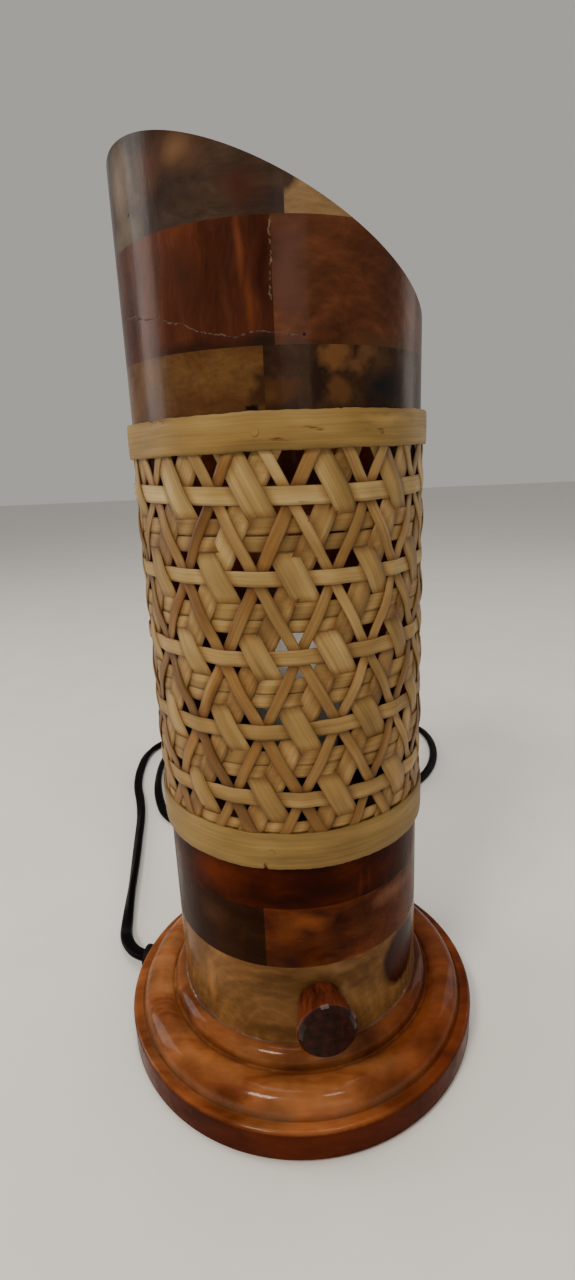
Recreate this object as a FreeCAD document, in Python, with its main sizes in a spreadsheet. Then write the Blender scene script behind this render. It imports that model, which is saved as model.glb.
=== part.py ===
import FreeCAD, Part
import math
import os

import Sketcher

# A table lamp: a turned wooden base carries a tube glued up from wooden ring segments.
# The front of the tube has a wide window, covered by a sleeve of woven bamboo between two
# bamboo hoops. The top of the tube is cut off at a slant. A dimmer knob stands out of the
# lowest ring, and the mains cord leaves the base at the back left and lies behind the lamp.
#
# Millimetres, +Z up. The origin is on the tube's axis, on the table. Directions round the
# axis are azimuths in degrees, 0 towards -Y (the front) and growing towards +X.

DOC = FreeCAD.newDocument("TableLamp")
SHEET = DOC.addObject("Spreadsheet::Sheet", "Sizes")

DIMENSIONS = [
    # name, value, what it is
    ("base_radius", 74.2, "outer radius of the turned base"),
    ("base_height", 27.9, "top of the base, where the tube is glued on"),
    ("rim_top", 14.6, "top of the base's plain rim"),
    ("torus_outer", 69.5, "valley between the rim and the big round moulding"),
    ("valley_width", 0.7, "width of that valley's outer slope"),
    ("valley_depth", 0.35, "depth of that valley"),
    ("torus_inner", 56.2, "groove inside the big round moulding"),
    ("torus_round", 8.2, "radius of the big round moulding"),
    ("bead_radius", 55.3, "widest radius of the small bead under the tube"),
    ("bead_round", 5.8, "radius of the bead's own curve"),
    ("tube_screw_ring", 44.0, "distance from the axis to the screws that hold the tube"),
    ("tube_screw_bite", 20.0, "how far those screws go into the tube"),
    ("felt_thick", 1.5, "thickness of the felt pad"),
    ("felt_radius", 71.0, "radius of the felt pad"),
    ("cover_thick", 3.0, "thickness of the plate that closes the base"),
    ("cover_radius", 62.0, "radius of that plate"),
    ("cover_screw_ring", 59.0, "distance from the axis to the screws of that plate"),
    ("cavity_radius", 56.0, "radius of the hollow under the base"),
    ("cavity_top", 14.0, "ceiling of the hollow under the base"),
    ("core_radius", 36.0, "radius of the hole up into the tube"),
    ("tube_radius", 50.0, "outer radius of the tube"),
    ("shade_bore", 41.0, "inner radius of the upper tube"),
    ("stem_bore", 38.0, "inner radius of the two lowest rings"),
    ("seam_low", 61.9, "glue seam between lower rings 1 and 2"),
    ("seam_mid", 86.7, "glue seam between lower rings 2 and 3"),
    ("window_low", 110.0, "sill of the window"),
    ("window_high", 246.0, "head of the window"),
    ("seam_high", 268.5, "glue seam between upper rings 1 and 2"),
    ("seam_top", 299.9, "glue seam between upper rings 2 and 3"),
    ("mouth_height", 300.77, "height of the slanted mouth on the axis"),
    ("mouth_slope", 27.3, "slope of the mouth, degrees"),
    ("blank_top", 335.0, "top of the ring blanks before the slanted cut"),
    ("hoop_radius", 51.9, "outer radius of the bamboo hoops"),
    ("hoop_seat", 50.6, "inner radius of the bamboo hoops"),
    ("low_hoop_low", 103.9, "lower edge of the bottom hoop"),
    ("low_hoop_high", 117.5, "upper edge of the bottom hoop"),
    ("top_hoop_low", 240.7, "lower edge of the top hoop"),
    ("top_hoop_high", 251.5, "upper edge of the top hoop"),
    ("weave_inner", 50.05, "inner radius of the woven sleeve"),
    ("weave_outer", 51.4, "outer radius of the woven sleeve"),
    ("weave_pressed", 50.55, "outer radius of the sleeve where a hoop presses it flat"),
    ("weave_tail", 9.0, "length of sleeve under each hoop"),
    ("platform_thick", 6.0, "thickness of the board that carries the lamp holder"),
    ("platform_radius", 40.7, "radius of that board"),
    ("holder_shift", 5.0, "how far the lamp holder sits to the right of the axis"),
    ("flange_radius", 25.0, "radius of the lamp holder's foot"),
    ("flange_thick", 4.3, "thickness of the lamp holder's foot"),
    ("holder_screw_reach", 21.3, "distance from the holder's axis to its screws"),
    ("holder_radius", 17.0, "outer radius of the lamp holder's sleeve"),
    ("holder_bore", 13.4, "inner radius of the lamp holder's sleeve"),
    ("holder_top", 121.0, "top of the lamp holder"),
    ("cap_radius", 13.1, "radius of the bulb's screw cap"),
    ("collar_low", 122.5, "where the bulb's collar starts"),
    ("neck_low", 131.0, "where the bulb's globe starts"),
    ("neck_radius", 14.5, "radius of the globe's neck"),
    ("globe_radius", 22.5, "radius of the bulb's globe"),
    ("globe_height", 152.5, "height of the globe's centre"),
    ("glass", 1.0, "thickness of the globe"),
    ("knob_height", 47.0, "height of the knob's axis"),
    ("knob_start", 50.7, "distance from the tube's axis to the knob's back"),
    ("knob_length", 15.3, "length of the knob"),
    ("knob_root", 8.7, "radius of the knob at its back"),
    ("knob_end", 10.9, "largest radius of the knob, near its front"),
    ("knob_face", 9.0, "radius of the knob's flat front"),
    ("shaft_radius", 3.0, "radius of the dimmer's shaft"),
    ("shaft_fit", 0.05, "radial play of the shaft in its bush"),
    ("shaft_grip", 11.0, "depth of the shaft's hole in the knob"),
    ("knob_recess", 2.6, "depth of the hollow in the knob's back, round the bush"),
    ("bush_radius", 4.5, "outer radius of the dimmer's threaded bush"),
    ("bush_end", 52.7, "distance from the tube's axis to the bush's end"),
    ("case_face", 35.5, "distance from the tube's axis to the dimmer case's front"),
    ("case_depth", 14.0, "depth of the dimmer case"),
    ("case_side", 26.0, "side of the dimmer case"),
    ("spot_depth", 48.4, "distance from the tube's axis to the nut's seat"),
    ("spot_radius", 7.6, "radius of the nut's seat"),
    ("nut_radius", 6.9, "radius across the nut's corners"),
    ("nut_thick", 2.0, "thickness of the nut"),
    ("exit_height", 8.2, "height of the cord's hole in the rim"),
    ("exit_reach", 76.7, "distance from the axis to the grommet's face"),
    ("grommet_radius", 4.6, "radius of the grommet's shank"),
    ("terminal_reach", 8.0, "distance from the axis to the terminal block's middle"),
    ("terminal_length", 24.0, "length of the terminal block, along the cord"),
    ("terminal_height", 9.0, "height of the terminal block"),
    ("clamp_reach", 46.0, "distance from the axis to the middle of the cord clamp"),
    ("clamp_length", 10.0, "length of the cord clamp, along the cord"),
    ("clamp_width", 24.0, "width of the cord clamp"),
    ("lead_radius", 1.2, "radius of the leads inside the lamp"),
    ("cord_radius", 3.1, "half the width of the flat mains cord"),
    ("coil_inner", 29.6, "inner radius of the cord's coil"),
    ("coil_outer", 42.4, "outer radius of the cord's coil"),
    ("coil_height", 11.8, "height of the cord's coil"),
    ("plug_length", 37.0, "length of the plug's body"),
    ("plug_radius", 15.0, "half the width of the plug's body"),
    ("plug_thick", 18.0, "thickness of the plug's body"),
    ("pin_radius", 2.4, "radius of the plug's pins"),
    ("pin_length", 19.0, "length of the plug's pins"),
    ("pin_spacing", 19.0, "distance between the middles of the plug's pins"),
]

MOUTH_AZIMUTH = 115.1  # the side where the mouth is lowest
KNOB_AZIMUTH = 7.6
EXIT_AZIMUTH = 255.0  # back left
HALF_TURN = 180.0
FULL_TURN = 360.0


class Size:
    """A number together with the spreadsheet formula that gives it."""

    def __init__(self, value, formula):
        self.value = value
        self.formula = formula

    def __add__(self, other):
        return Size(self.value + number(other), f"({self.formula} + {formula(other)})")

    def __sub__(self, other):
        return Size(self.value - number(other), f"({self.formula} - {formula(other)})")

    def __mul__(self, factor):
        return Size(self.value * factor, f"({self.formula} * {formula(factor)})")

    def __rsub__(self, other):
        return Size(number(other) - self.value, f"({formula(other)} - {self.formula})")

    __radd__ = __add__
    __rmul__ = __mul__


def number(size):
    return size.value if isinstance(size, Size) else float(size)


def formula(size):
    return size.formula if isinstance(size, Size) else f"{float(size):.12g}"


def bind(thing, prop, size):
    """Binds one property of a document object to the sheet."""
    if isinstance(size, Size):
        thing.setExpression(prop, size.formula)


def fill_sheet():
    """Writes the driving dimensions and returns them by name."""
    sizes = {}
    for row, (name, value, note) in enumerate(DIMENSIONS, start=1):
        SHEET.set(f"A{row}", name)
        SHEET.set(f"B{row}", str(value))
        SHEET.set(f"C{row}", note)
        SHEET.setAlias(f"B{row}", name)
        sizes[name] = Size(value, f"Sizes.{name}")
    DOC.recompute()
    return sizes


S = fill_sheet()
PIECES = []


def keep(thing, label):
    """Names a finished sub-part and puts it on the list of files to write."""
    thing.Label = label
    PIECES.append(thing)
    return thing


def heading(azimuth):
    """Unit vector, pointing out of the lamp at an azimuth."""
    turn = math.radians(azimuth)
    return FreeCAD.Vector(math.sin(turn), -math.cos(turn), 0)


def place(thing, where, rotation=None):
    """Puts an object at a point whose coordinates may be sizes."""
    base = FreeCAD.Vector(*[number(c) for c in where])
    thing.Placement = FreeCAD.Placement(base, rotation or FreeCAD.Rotation())
    for axis, coordinate in zip("xyz", where):
        bind(thing, f"Placement.Base.{axis}", coordinate)
    return thing


def out_at(azimuth, reach, height):
    """The point at a distance from the axis, as sizes."""
    way = heading(azimuth)
    return (reach * way.x, reach * way.y, height)


def arc_between(start, end, radius, sense):
    """Minor arc from start to end; sense 1 turns left on the way, -1 turns right."""
    chord = end - start
    half = chord.Length / 2
    left = FreeCAD.Vector(-chord.y, chord.x, 0).normalize()
    centre = (start + end) / 2 + left * sense * math.sqrt(max(radius**2 - half**2, 0))
    first, last = (start, end) if sense > 0 else (end, start)
    angles = [math.atan2(p.y - centre.y, p.x - centre.x) for p in (first, last)]
    circle = Part.Circle(centre, FreeCAD.Vector(0, 0, 1), radius)
    return Part.ArcOfCircle(circle, angles[0], angles[1])


def draw_outline(sketch, outline):
    """Closed outline of (r, z) corners; (r, z, radius, sense) is reached along an arc."""
    corners = [FreeCAD.Vector(number(c[0]), number(c[1]), 0) for c in outline]
    ends = []
    for i, corner in enumerate(corners):
        target = outline[(i + 1) % len(outline)]
        stop = corners[(i + 1) % len(corners)]
        if len(target) == 4:
            sketch.addGeometry(arc_between(corner, stop, number(target[2]), target[3]), False)
            ends.append((1, 2) if target[3] > 0 else (2, 1))
        else:
            sketch.addGeometry(Part.LineSegment(corner, stop), False)
            ends.append((1, 2))
    for i in range(len(outline)):
        after = (i + 1) % len(outline)
        sketch.addConstraint(Sketcher.Constraint("Coincident", i, ends[i][1], after, ends[after][0]))
    for i, corner in enumerate(outline):
        for kind, axis_id, size in (("DistanceX", -2, corner[0]), ("DistanceY", -1, corner[1])):
            if number(size) == 0:
                sketch.addConstraint(Sketcher.Constraint("PointOnObject", i, ends[i][0], axis_id))
                continue
            made = sketch.addConstraint(
                Sketcher.Constraint(kind, -1, 1, i, ends[i][0], number(size))
            )
            bind(sketch, f"Constraints[{made}]", size)
    for i in range(len(outline)):
        target = outline[(i + 1) % len(outline)]
        if len(target) == 4:
            made = sketch.addConstraint(Sketcher.Constraint("Radius", i, number(target[2])))
            bind(sketch, f"Constraints[{made}]", target[2])


def turned(name, outline, first_azimuth=90.0, sweep=FULL_TURN):
    """A body turned about Z from an outline, all round or from one azimuth through a sweep."""
    body = DOC.addObject("PartDesign::Body", name)
    plane = next(f for f in body.Origin.OriginFeatures if f.Role == "XZ_Plane")
    sketch = body.newObject("Sketcher::SketchObject", f"{name}_outline")
    sketch.AttachmentSupport = [(plane, "")]
    sketch.MapMode = "FlatFace"
    draw_outline(sketch, outline)
    feature = body.newObject("PartDesign::Revolution", f"{name}_turning")
    feature.Profile = sketch
    feature.ReferenceAxis = (sketch, ["V_Axis"])
    feature.Angle = sweep
    turn = FreeCAD.Rotation(FreeCAD.Vector(0, 0, 1), first_azimuth - 90.0)
    body.Placement = FreeCAD.Placement(FreeCAD.Vector(), turn)
    return body


def ring(name, inner, outer, low, high, first_azimuth=90.0, sweep=FULL_TURN):
    """A plain ring, or a segment of one."""
    outline = [(inner, low), (outer, low), (outer, high), (inner, high)]
    return turned(name, outline, first_azimuth, sweep)


def rod(name, radius, length, start, direction=(0, 0, 1)):
    """A round bar from a point along a direction."""
    bar = DOC.addObject("Part::Cylinder", name)
    bar.Radius = number(radius)
    bar.Height = number(length)
    bind(bar, "Radius", radius)
    bind(bar, "Height", length)
    turn = FreeCAD.Rotation(FreeCAD.Vector(0, 0, 1), FreeCAD.Vector(*direction))
    return place(bar, start, turn)


def block(name, sides, centre, azimuth=90.0):
    """A box by its sides (outwards, across, up) and its centre, turned to face an azimuth."""
    box = DOC.addObject("Part::Box", name)
    for prop, side in zip(("Length", "Width", "Height"), sides):
        setattr(box, prop, number(side))
        bind(box, prop, side)
    turn = FreeCAD.Rotation(FreeCAD.Vector(0, 0, 1), azimuth - 90.0)
    corner = turn.multVec(FreeCAD.Vector(*[-number(side) / 2 for side in sides]))
    where = [Size(number(c), formula(c)) + delta for c, delta in zip(centre, corner)]
    return place(box, where, turn)


def cut(name, base, tools):
    """The base without its tools."""
    tool = tools[0]
    if len(tools) > 1:
        tool = DOC.addObject("Part::MultiFuse", f"{name}_tools")
        tool.Shapes = tools
    result = DOC.addObject("Part::Cut", name)
    result.Base = base
    result.Tool = tool
    return result


def group(name, members):
    """Several separate solids under one name."""
    result = DOC.addObject("Part::Compound", name)
    result.Links = members
    return result


def screw(name, tip, length, shank, head, head_thick, direction):
    """A round-headed screw: the shank runs from its tip to the head."""
    way = FreeCAD.Vector(*direction)
    seat = [c - w * length for c, w in zip(tip, way)]
    top = [c - w * head_thick for c, w in zip(seat, way)]
    pin = rod(f"{name}_shank", shank, length, seat, direction)
    cap = rod(f"{name}_head", head, head_thick, top, direction)
    whole = DOC.addObject("Part::Fuse", name)
    whole.Base = cap
    whole.Tool = pin
    return whole


def bent_path(points):
    """Straight runs joined by tangent arcs, and the arcs' radii."""
    corners = [FreeCAD.Vector(*p) for p in points]
    edges = []
    radii = []
    here = corners[0]
    for before, corner, after in zip(corners, corners[1:], corners[2:]):
        come = corner - before
        leave = after - corner
        turn = come.getAngle(leave)
        reach = 0.45 * min(come.Length, leave.Length)
        come.normalize()
        leave.normalize()
        start = corner - come * reach
        stop = corner + leave * reach
        radius = reach / math.tan(turn / 2)
        inward = (leave - come).normalize()
        middle = corner + inward * (radius / math.cos(turn / 2) - radius)
        edges.append(Part.LineSegment(here, start).toShape())
        edges.append(Part.Arc(start, middle, stop).toShape())
        radii.append(radius)
        here = stop
    edges.append(Part.LineSegment(here, corners[-1]).toShape())
    return Part.Wire(edges), radii


def tube_along(name, points, radius):
    """A round bar that follows a path of runs and arcs."""
    path, radii = bent_path(points)
    first = path.Edges[0]
    disc = Part.Circle(first.valueAt(first.FirstParameter), first.tangentAt(0), radius)
    solid = path.makePipeShell([Part.Wire([disc.toShape()])], True, True)
    length = path.Length
    exact = math.pi * radius**2 * length
    print(
        f"{name}: length {length:.1f}, smallest arc {min(radii):.1f},"
        f" volume {solid.Volume:.0f} against {exact:.0f}"
    )
    feature = DOC.addObject("Part::Feature", name)
    feature.Shape = solid
    return feature


# ---------------------------------------------------------------- base


def make_base():
    """Turned base with its hollow, the plate that closes it, the felt and the screws."""
    cover_top = S["felt_thick"] + S["cover_thick"]
    edge = 1.5
    outline = [
        (S["core_radius"], S["cavity_top"]),
        (S["cavity_radius"], S["cavity_top"]),
        (S["cavity_radius"], cover_top),
        (S["cover_radius"], cover_top),
        (S["cover_radius"], S["felt_thick"]),
        (S["base_radius"] - 1.0, S["felt_thick"]),
        (S["base_radius"], S["felt_thick"] + 1.0),
        (S["base_radius"], S["rim_top"] - edge),
        (S["base_radius"] - edge, S["rim_top"], edge, 1),
        (S["torus_outer"] + S["valley_width"], S["rim_top"]),
        (S["torus_outer"], S["rim_top"] - S["valley_depth"]),
        (S["torus_inner"], S["rim_top"] + 5.7, S["torus_round"], 1),
        (S["bead_radius"], S["rim_top"] + 5.9),
        (S["bead_radius"], S["rim_top"] + 6.6),
        (S["tube_radius"], S["base_height"] - 0.9, S["bead_round"], 1),
        (S["tube_radius"], S["base_height"]),
        (S["core_radius"], S["base_height"]),
    ]
    blank = turned("base_blank", outline)
    way = heading(EXIT_AZIMUTH)
    hole_start = out_at(EXIT_AZIMUTH, S["cavity_radius"] - 3.0, S["exit_height"])
    exit_hole = rod("exit_hole", S["grommet_radius"], 30.0, hole_start, way)
    keep(cut("base_plinth", blank, [exit_hole]), "base_plinth")

    cover_disc = rod("cover_disc", S["cover_radius"] - 0.3, S["cover_thick"], (0, 0, S["felt_thick"]))
    cover_holes = []
    cover_screws = []
    for i, azimuth in enumerate((45, 135, 225, 315)):
        head_low = S["felt_thick"] + 0.2
        start = out_at(azimuth, S["cover_screw_ring"], S["felt_thick"])
        cover_holes.append(rod(f"cover_hole_{i}", 3.6, S["cover_thick"], start))
        tip = out_at(azimuth, S["cover_screw_ring"], head_low + 9.5)
        cover_screws.append(screw(f"cover_screw_{i}", tip, 8.0, 1.6, 3.2, 1.5, (0, 0, 1)))
    keep(cut("base_cover", cover_disc, cover_holes), "base_cover")
    keep(group("cover_screws", cover_screws), "cover_screws")
    keep(rod("felt_pad", S["felt_radius"], S["felt_thick"], (0, 0, 0)), "felt_pad")

    tube_screws = []
    for i, azimuth in enumerate((60, 180, 300)):
        tip = out_at(azimuth, S["tube_screw_ring"], S["base_height"] + S["tube_screw_bite"])
        seat_depth = S["base_height"] - S["cavity_top"] + S["tube_screw_bite"]
        tube_screws.append(screw(f"tube_screw_{i}", tip, seat_depth, 2.0, 4.0, 2.4, (0, 0, 1)))
    keep(group("tube_screws", tube_screws), "tube_screws")


# ---------------------------------------------------------------- tube


def make_lower_rings():
    """The glued rings under the window."""
    blank = ring("lower_ring_blank", S["stem_bore"], S["tube_radius"], S["base_height"], S["seam_low"])
    way = heading(KNOB_AZIMUTH)
    bush_hole = rod(
        "bush_hole",
        S["bush_radius"] + 0.1,
        24.0,
        out_at(KNOB_AZIMUTH, S["case_face"] - 1.0, S["knob_height"]),
        way,
    )
    nut_seat = rod(
        "nut_seat",
        S["spot_radius"],
        6.0,
        out_at(KNOB_AZIMUTH, S["spot_depth"], S["knob_height"]),
        way,
    )
    keep(cut("lower_ring_1", blank, [bush_hole, nut_seat]), "lower_ring_1")
    glue_seam = -14.0
    low = S["seam_low"]
    high = S["seam_mid"]
    for label, first in (("lower_ring_2_amber", glue_seam), ("lower_ring_2_dark", glue_seam + HALF_TURN)):
        keep(ring(label, S["stem_bore"], S["tube_radius"], low, high, first, HALF_TURN), label)
    whole = ring("lower_ring_3", S["shade_bore"], S["tube_radius"], S["seam_mid"], S["window_low"])
    keep(whole, "lower_ring_3")


def make_back_wall():
    """The half of the tube behind the window, glued up in courses."""
    courses = 4
    first = 80.0
    sweep = 200.0
    step = (S["window_high"] - S["window_low"]) * (1.0 / courses)
    for i in range(courses):
        low = S["window_low"] + step * i
        label = f"back_wall_{i + 1}"
        segment = ring(label, S["shade_bore"], S["tube_radius"], low, low + step, first, sweep)
        keep(segment, label)


def mouth_cutter(name):
    """A thick disc whose flat underside is the plane of the slanted mouth."""
    disc = DOC.addObject("Part::Cylinder", name)
    disc.Radius = 150.0
    disc.Height = 90.0
    low_side = heading(MOUTH_AZIMUTH)
    disc.Placement = FreeCAD.Placement(
        FreeCAD.Vector(0, 0, S["mouth_height"].value),
        FreeCAD.Rotation(FreeCAD.Vector(-low_side.y, low_side.x, 0), S["mouth_slope"].value),
    )
    bind(disc, "Placement.Base.z", S["mouth_height"])
    return disc


def make_upper_rings():
    """The glued rings over the window; the top two are cut by the slanted mouth."""
    bore = S["shade_bore"]
    outer = S["tube_radius"]
    head = S["window_high"]
    seam_1 = -3.4
    for label, first in (("upper_ring_1_burl", seam_1), ("upper_ring_1_light", seam_1 + HALF_TURN)):
        keep(ring(label, bore, outer, head, S["seam_high"], first, HALF_TURN), label)
    seam_2 = 0.5
    for label, first in (("upper_ring_2_brown", seam_2), ("upper_ring_2_red", seam_2 + HALF_TURN)):
        blank = ring(f"{label}_blank", bore, outer, S["seam_high"], S["seam_top"], first, HALF_TURN)
        keep(cut(label, blank, [mouth_cutter(f"{label}_mouth")]), label)
    seam_3 = 5.0
    rest_sweep = 170.0
    light_sweep = 30.0
    for label, first, sweep in (
        ("upper_ring_3_light", seam_3, light_sweep),
        ("upper_ring_3_dark", seam_3 - rest_sweep, rest_sweep),
    ):
        blank = ring(f"{label}_blank", bore, outer, S["seam_top"], S["blank_top"], first, sweep)
        keep(cut(label, blank, [mouth_cutter(f"{label}_mouth")]), label)


# ---------------------------------------------------------------- bamboo


def make_bamboo():
    """The woven sleeve as a plain shell, its two hoops and the tacks that hold them."""
    low_tail = S["low_hoop_high"] - S["weave_tail"]
    top_tail = S["top_hoop_low"] + S["weave_tail"]
    outline = [
        (S["weave_inner"], low_tail),
        (S["weave_pressed"], low_tail),
        (S["weave_pressed"], S["low_hoop_high"] + 0.1),
        (S["weave_outer"], S["low_hoop_high"] + 0.1),
        (S["weave_outer"], S["top_hoop_low"] - 0.1),
        (S["weave_pressed"], S["top_hoop_low"] - 0.1),
        (S["weave_pressed"], top_tail),
        (S["weave_inner"], top_tail),
    ]
    keep(turned("weave_sleeve", outline), "weave_sleeve")
    edge = 0.5
    tacks = []
    for label, low, high, first in (
        ("hoop_bottom", S["low_hoop_low"], S["low_hoop_high"], -9.0),
        ("hoop_top", S["top_hoop_low"], S["top_hoop_high"], -7.0),
    ):
        outline = [
            (S["hoop_seat"], low),
            (S["hoop_radius"] - edge, low),
            (S["hoop_radius"], low + edge, edge, 1),
            (S["hoop_radius"], high - edge),
            (S["hoop_radius"] - edge, high, edge, 1),
            (S["hoop_seat"], high),
        ]
        keep(turned(label, outline), label)
        middle = (low + high) * 0.5
        for i in range(3):
            azimuth = first + i * 120.0
            inward = heading(azimuth) * -1
            tip = out_at(azimuth, S["hoop_radius"] - 8.0, middle)
            tacks.append(screw(f"{label}_tack_{i}", tip, 8.0, 0.5, 1.1, 0.3, inward))
    keep(group("hoop_tacks", tacks), "hoop_tacks")


# ---------------------------------------------------------------- light


def make_light():
    """The board inside the tube, the lamp holder on it, and the bulb."""
    board_top = S["seam_mid"] + S["platform_thick"]
    shift = S["holder_shift"]
    disc = rod("board_disc", S["platform_radius"], S["platform_thick"], (0, 0, S["seam_mid"]))
    wire_hole = rod("wire_hole", 7.0, S["platform_thick"], (shift, 0, S["seam_mid"]))
    keep(cut("holder_platform", disc, [wire_hole]), "holder_platform")

    flange_top = board_top + S["flange_thick"]
    contact_hole = 4.5
    outline = [
        (contact_hole, board_top),
        (S["flange_radius"], board_top),
        (S["flange_radius"], flange_top - 1.0),
        (S["flange_radius"] - 1.0, flange_top, 1.0, 1),
        (S["holder_radius"] + 1.5, flange_top),
        (S["holder_radius"], flange_top + 1.5, 1.5, -1),
        (S["holder_radius"], S["holder_top"] - 1.0),
        (S["holder_radius"] - 1.0, S["holder_top"], 1.0, 1),
        (S["holder_bore"], S["holder_top"]),
        (S["holder_bore"], flange_top),
        (contact_hole, flange_top),
    ]
    holder = turned("lamp_holder", outline)
    keep(place(holder, (shift, 0, 0)), "lamp_holder")
    contact = rod("holder_contact", contact_hole - 0.2, S["flange_thick"] + 1.4, (shift, 0, board_top))
    keep(contact, "holder_contact")
    screws = []
    for i, side in enumerate((-1, 1)):
        tip = (shift, S["holder_screw_reach"] * side, S["seam_mid"] + 1.0)
        length = S["platform_thick"] + S["flange_thick"] - 1.0
        screws.append(screw(f"holder_screw_{i}", tip, length, 1.4, 2.6, 1.6, (0, 0, -1)))
    keep(group("holder_screws", screws), "holder_screws")

    outline = [
        (0, flange_top + 1.4),
        (4.0, flange_top + 1.4),
        (5.0, flange_top + 2.4),
        (S["cap_radius"] - 2.0, flange_top + 4.4),
        (S["cap_radius"], flange_top + 6.4),
        (S["cap_radius"], S["collar_low"]),
        (0, S["collar_low"]),
    ]
    keep(place(turned("bulb_cap", outline), (shift, 0, 0)), "bulb_cap")
    outline = [
        (0, S["collar_low"]),
        (S["cap_radius"] + 0.4, S["collar_low"]),
        (S["neck_radius"], S["neck_low"]),
        (0, S["neck_low"]),
    ]
    keep(place(turned("bulb_collar", outline), (shift, 0, 0)), "bulb_collar")

    shoulder = math.radians(34.0)
    inner = S["globe_radius"] - S["glass"]
    outline = [
        (S["neck_radius"] - S["glass"], S["neck_low"]),
        (S["neck_radius"], S["neck_low"]),
        (
            S["globe_radius"] * math.cos(shoulder),
            S["globe_height"] - S["globe_radius"] * math.sin(shoulder),
        ),
        (0, S["globe_height"] + S["globe_radius"], S["globe_radius"], 1),
        (0, S["globe_height"] + inner),
        (inner * math.cos(shoulder), S["globe_height"] - inner * math.sin(shoulder), inner, -1),
    ]
    keep(place(turned("bulb_globe", outline), (shift, 0, 0)), "bulb_globe")


# ---------------------------------------------------------------- dimmer


def make_dimmer():
    """The dimmer inside the lowest ring, its shaft and its turned wooden knob."""
    way = heading(KNOB_AZIMUTH)
    level = S["knob_height"]
    centre = out_at(KNOB_AZIMUTH, S["case_face"] - S["case_depth"] * 0.5, level)
    case = block("case_block", (S["case_depth"], S["case_side"], S["case_side"]), centre, KNOB_AZIMUTH)
    shaft_start = S["case_face"] - S["case_depth"] + 2.0
    clearance = S["shaft_radius"] + S["shaft_fit"]
    case_bore = rod("case_bore", clearance, 20.0, out_at(KNOB_AZIMUTH, shaft_start - 0.2, level), way)
    keep(cut("dimmer_case", case, [case_bore]), "dimmer_case")

    bush_length = S["bush_end"] - S["case_face"]
    bush_start = out_at(KNOB_AZIMUTH, S["case_face"], level)
    sleeve = rod("bush_sleeve", S["bush_radius"], bush_length, bush_start, way)
    bush_bore = rod("bush_bore", clearance, bush_length, bush_start, way)
    keep(cut("dimmer_bush", sleeve, [bush_bore]), "dimmer_bush")

    hexagon = DOC.addObject("Part::Prism", "nut_hexagon")
    hexagon.Polygon = 6
    hexagon.Circumradius = S["nut_radius"].value
    hexagon.Height = S["nut_thick"].value
    bind(hexagon, "Circumradius", S["nut_radius"])
    bind(hexagon, "Height", S["nut_thick"])
    turn = FreeCAD.Rotation(FreeCAD.Vector(0, 0, 1), way)
    seat = out_at(KNOB_AZIMUTH, S["spot_depth"], level)
    place(hexagon, seat, turn)
    nut_bore = rod("nut_bore", S["bush_radius"] + 0.02, S["nut_thick"], seat, way)
    keep(cut("dimmer_nut", hexagon, [nut_bore]), "dimmer_nut")

    grip = S["shaft_grip"]
    recess = S["knob_recess"]
    shaft_length = S["knob_start"] + grip - shaft_start
    back_end = out_at(KNOB_AZIMUTH, shaft_start, level)
    keep(rod("dimmer_shaft", S["shaft_radius"], shaft_length, back_end, way), "dimmer_shaft")

    outline = [
        (S["bush_radius"] + 0.7, 0),
        (S["knob_root"] - 0.6, 0),
        (S["knob_root"], 0.6, 0.6, 1),
        (S["knob_end"], S["knob_length"] - 2.8),
        (S["knob_end"] - 0.5, S["knob_length"] - 1.5),
        (S["knob_face"], S["knob_length"]),
        (0, S["knob_length"]),
        (0, grip),
        (S["shaft_radius"], grip),
        (S["shaft_radius"], recess),
        (S["bush_radius"] + 0.7, recess),
    ]
    knob = turned("dimmer_knob", outline)
    keep(place(knob, out_at(KNOB_AZIMUTH, S["knob_start"], level), turn), "dimmer_knob")


# ---------------------------------------------------------------- wiring


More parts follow.
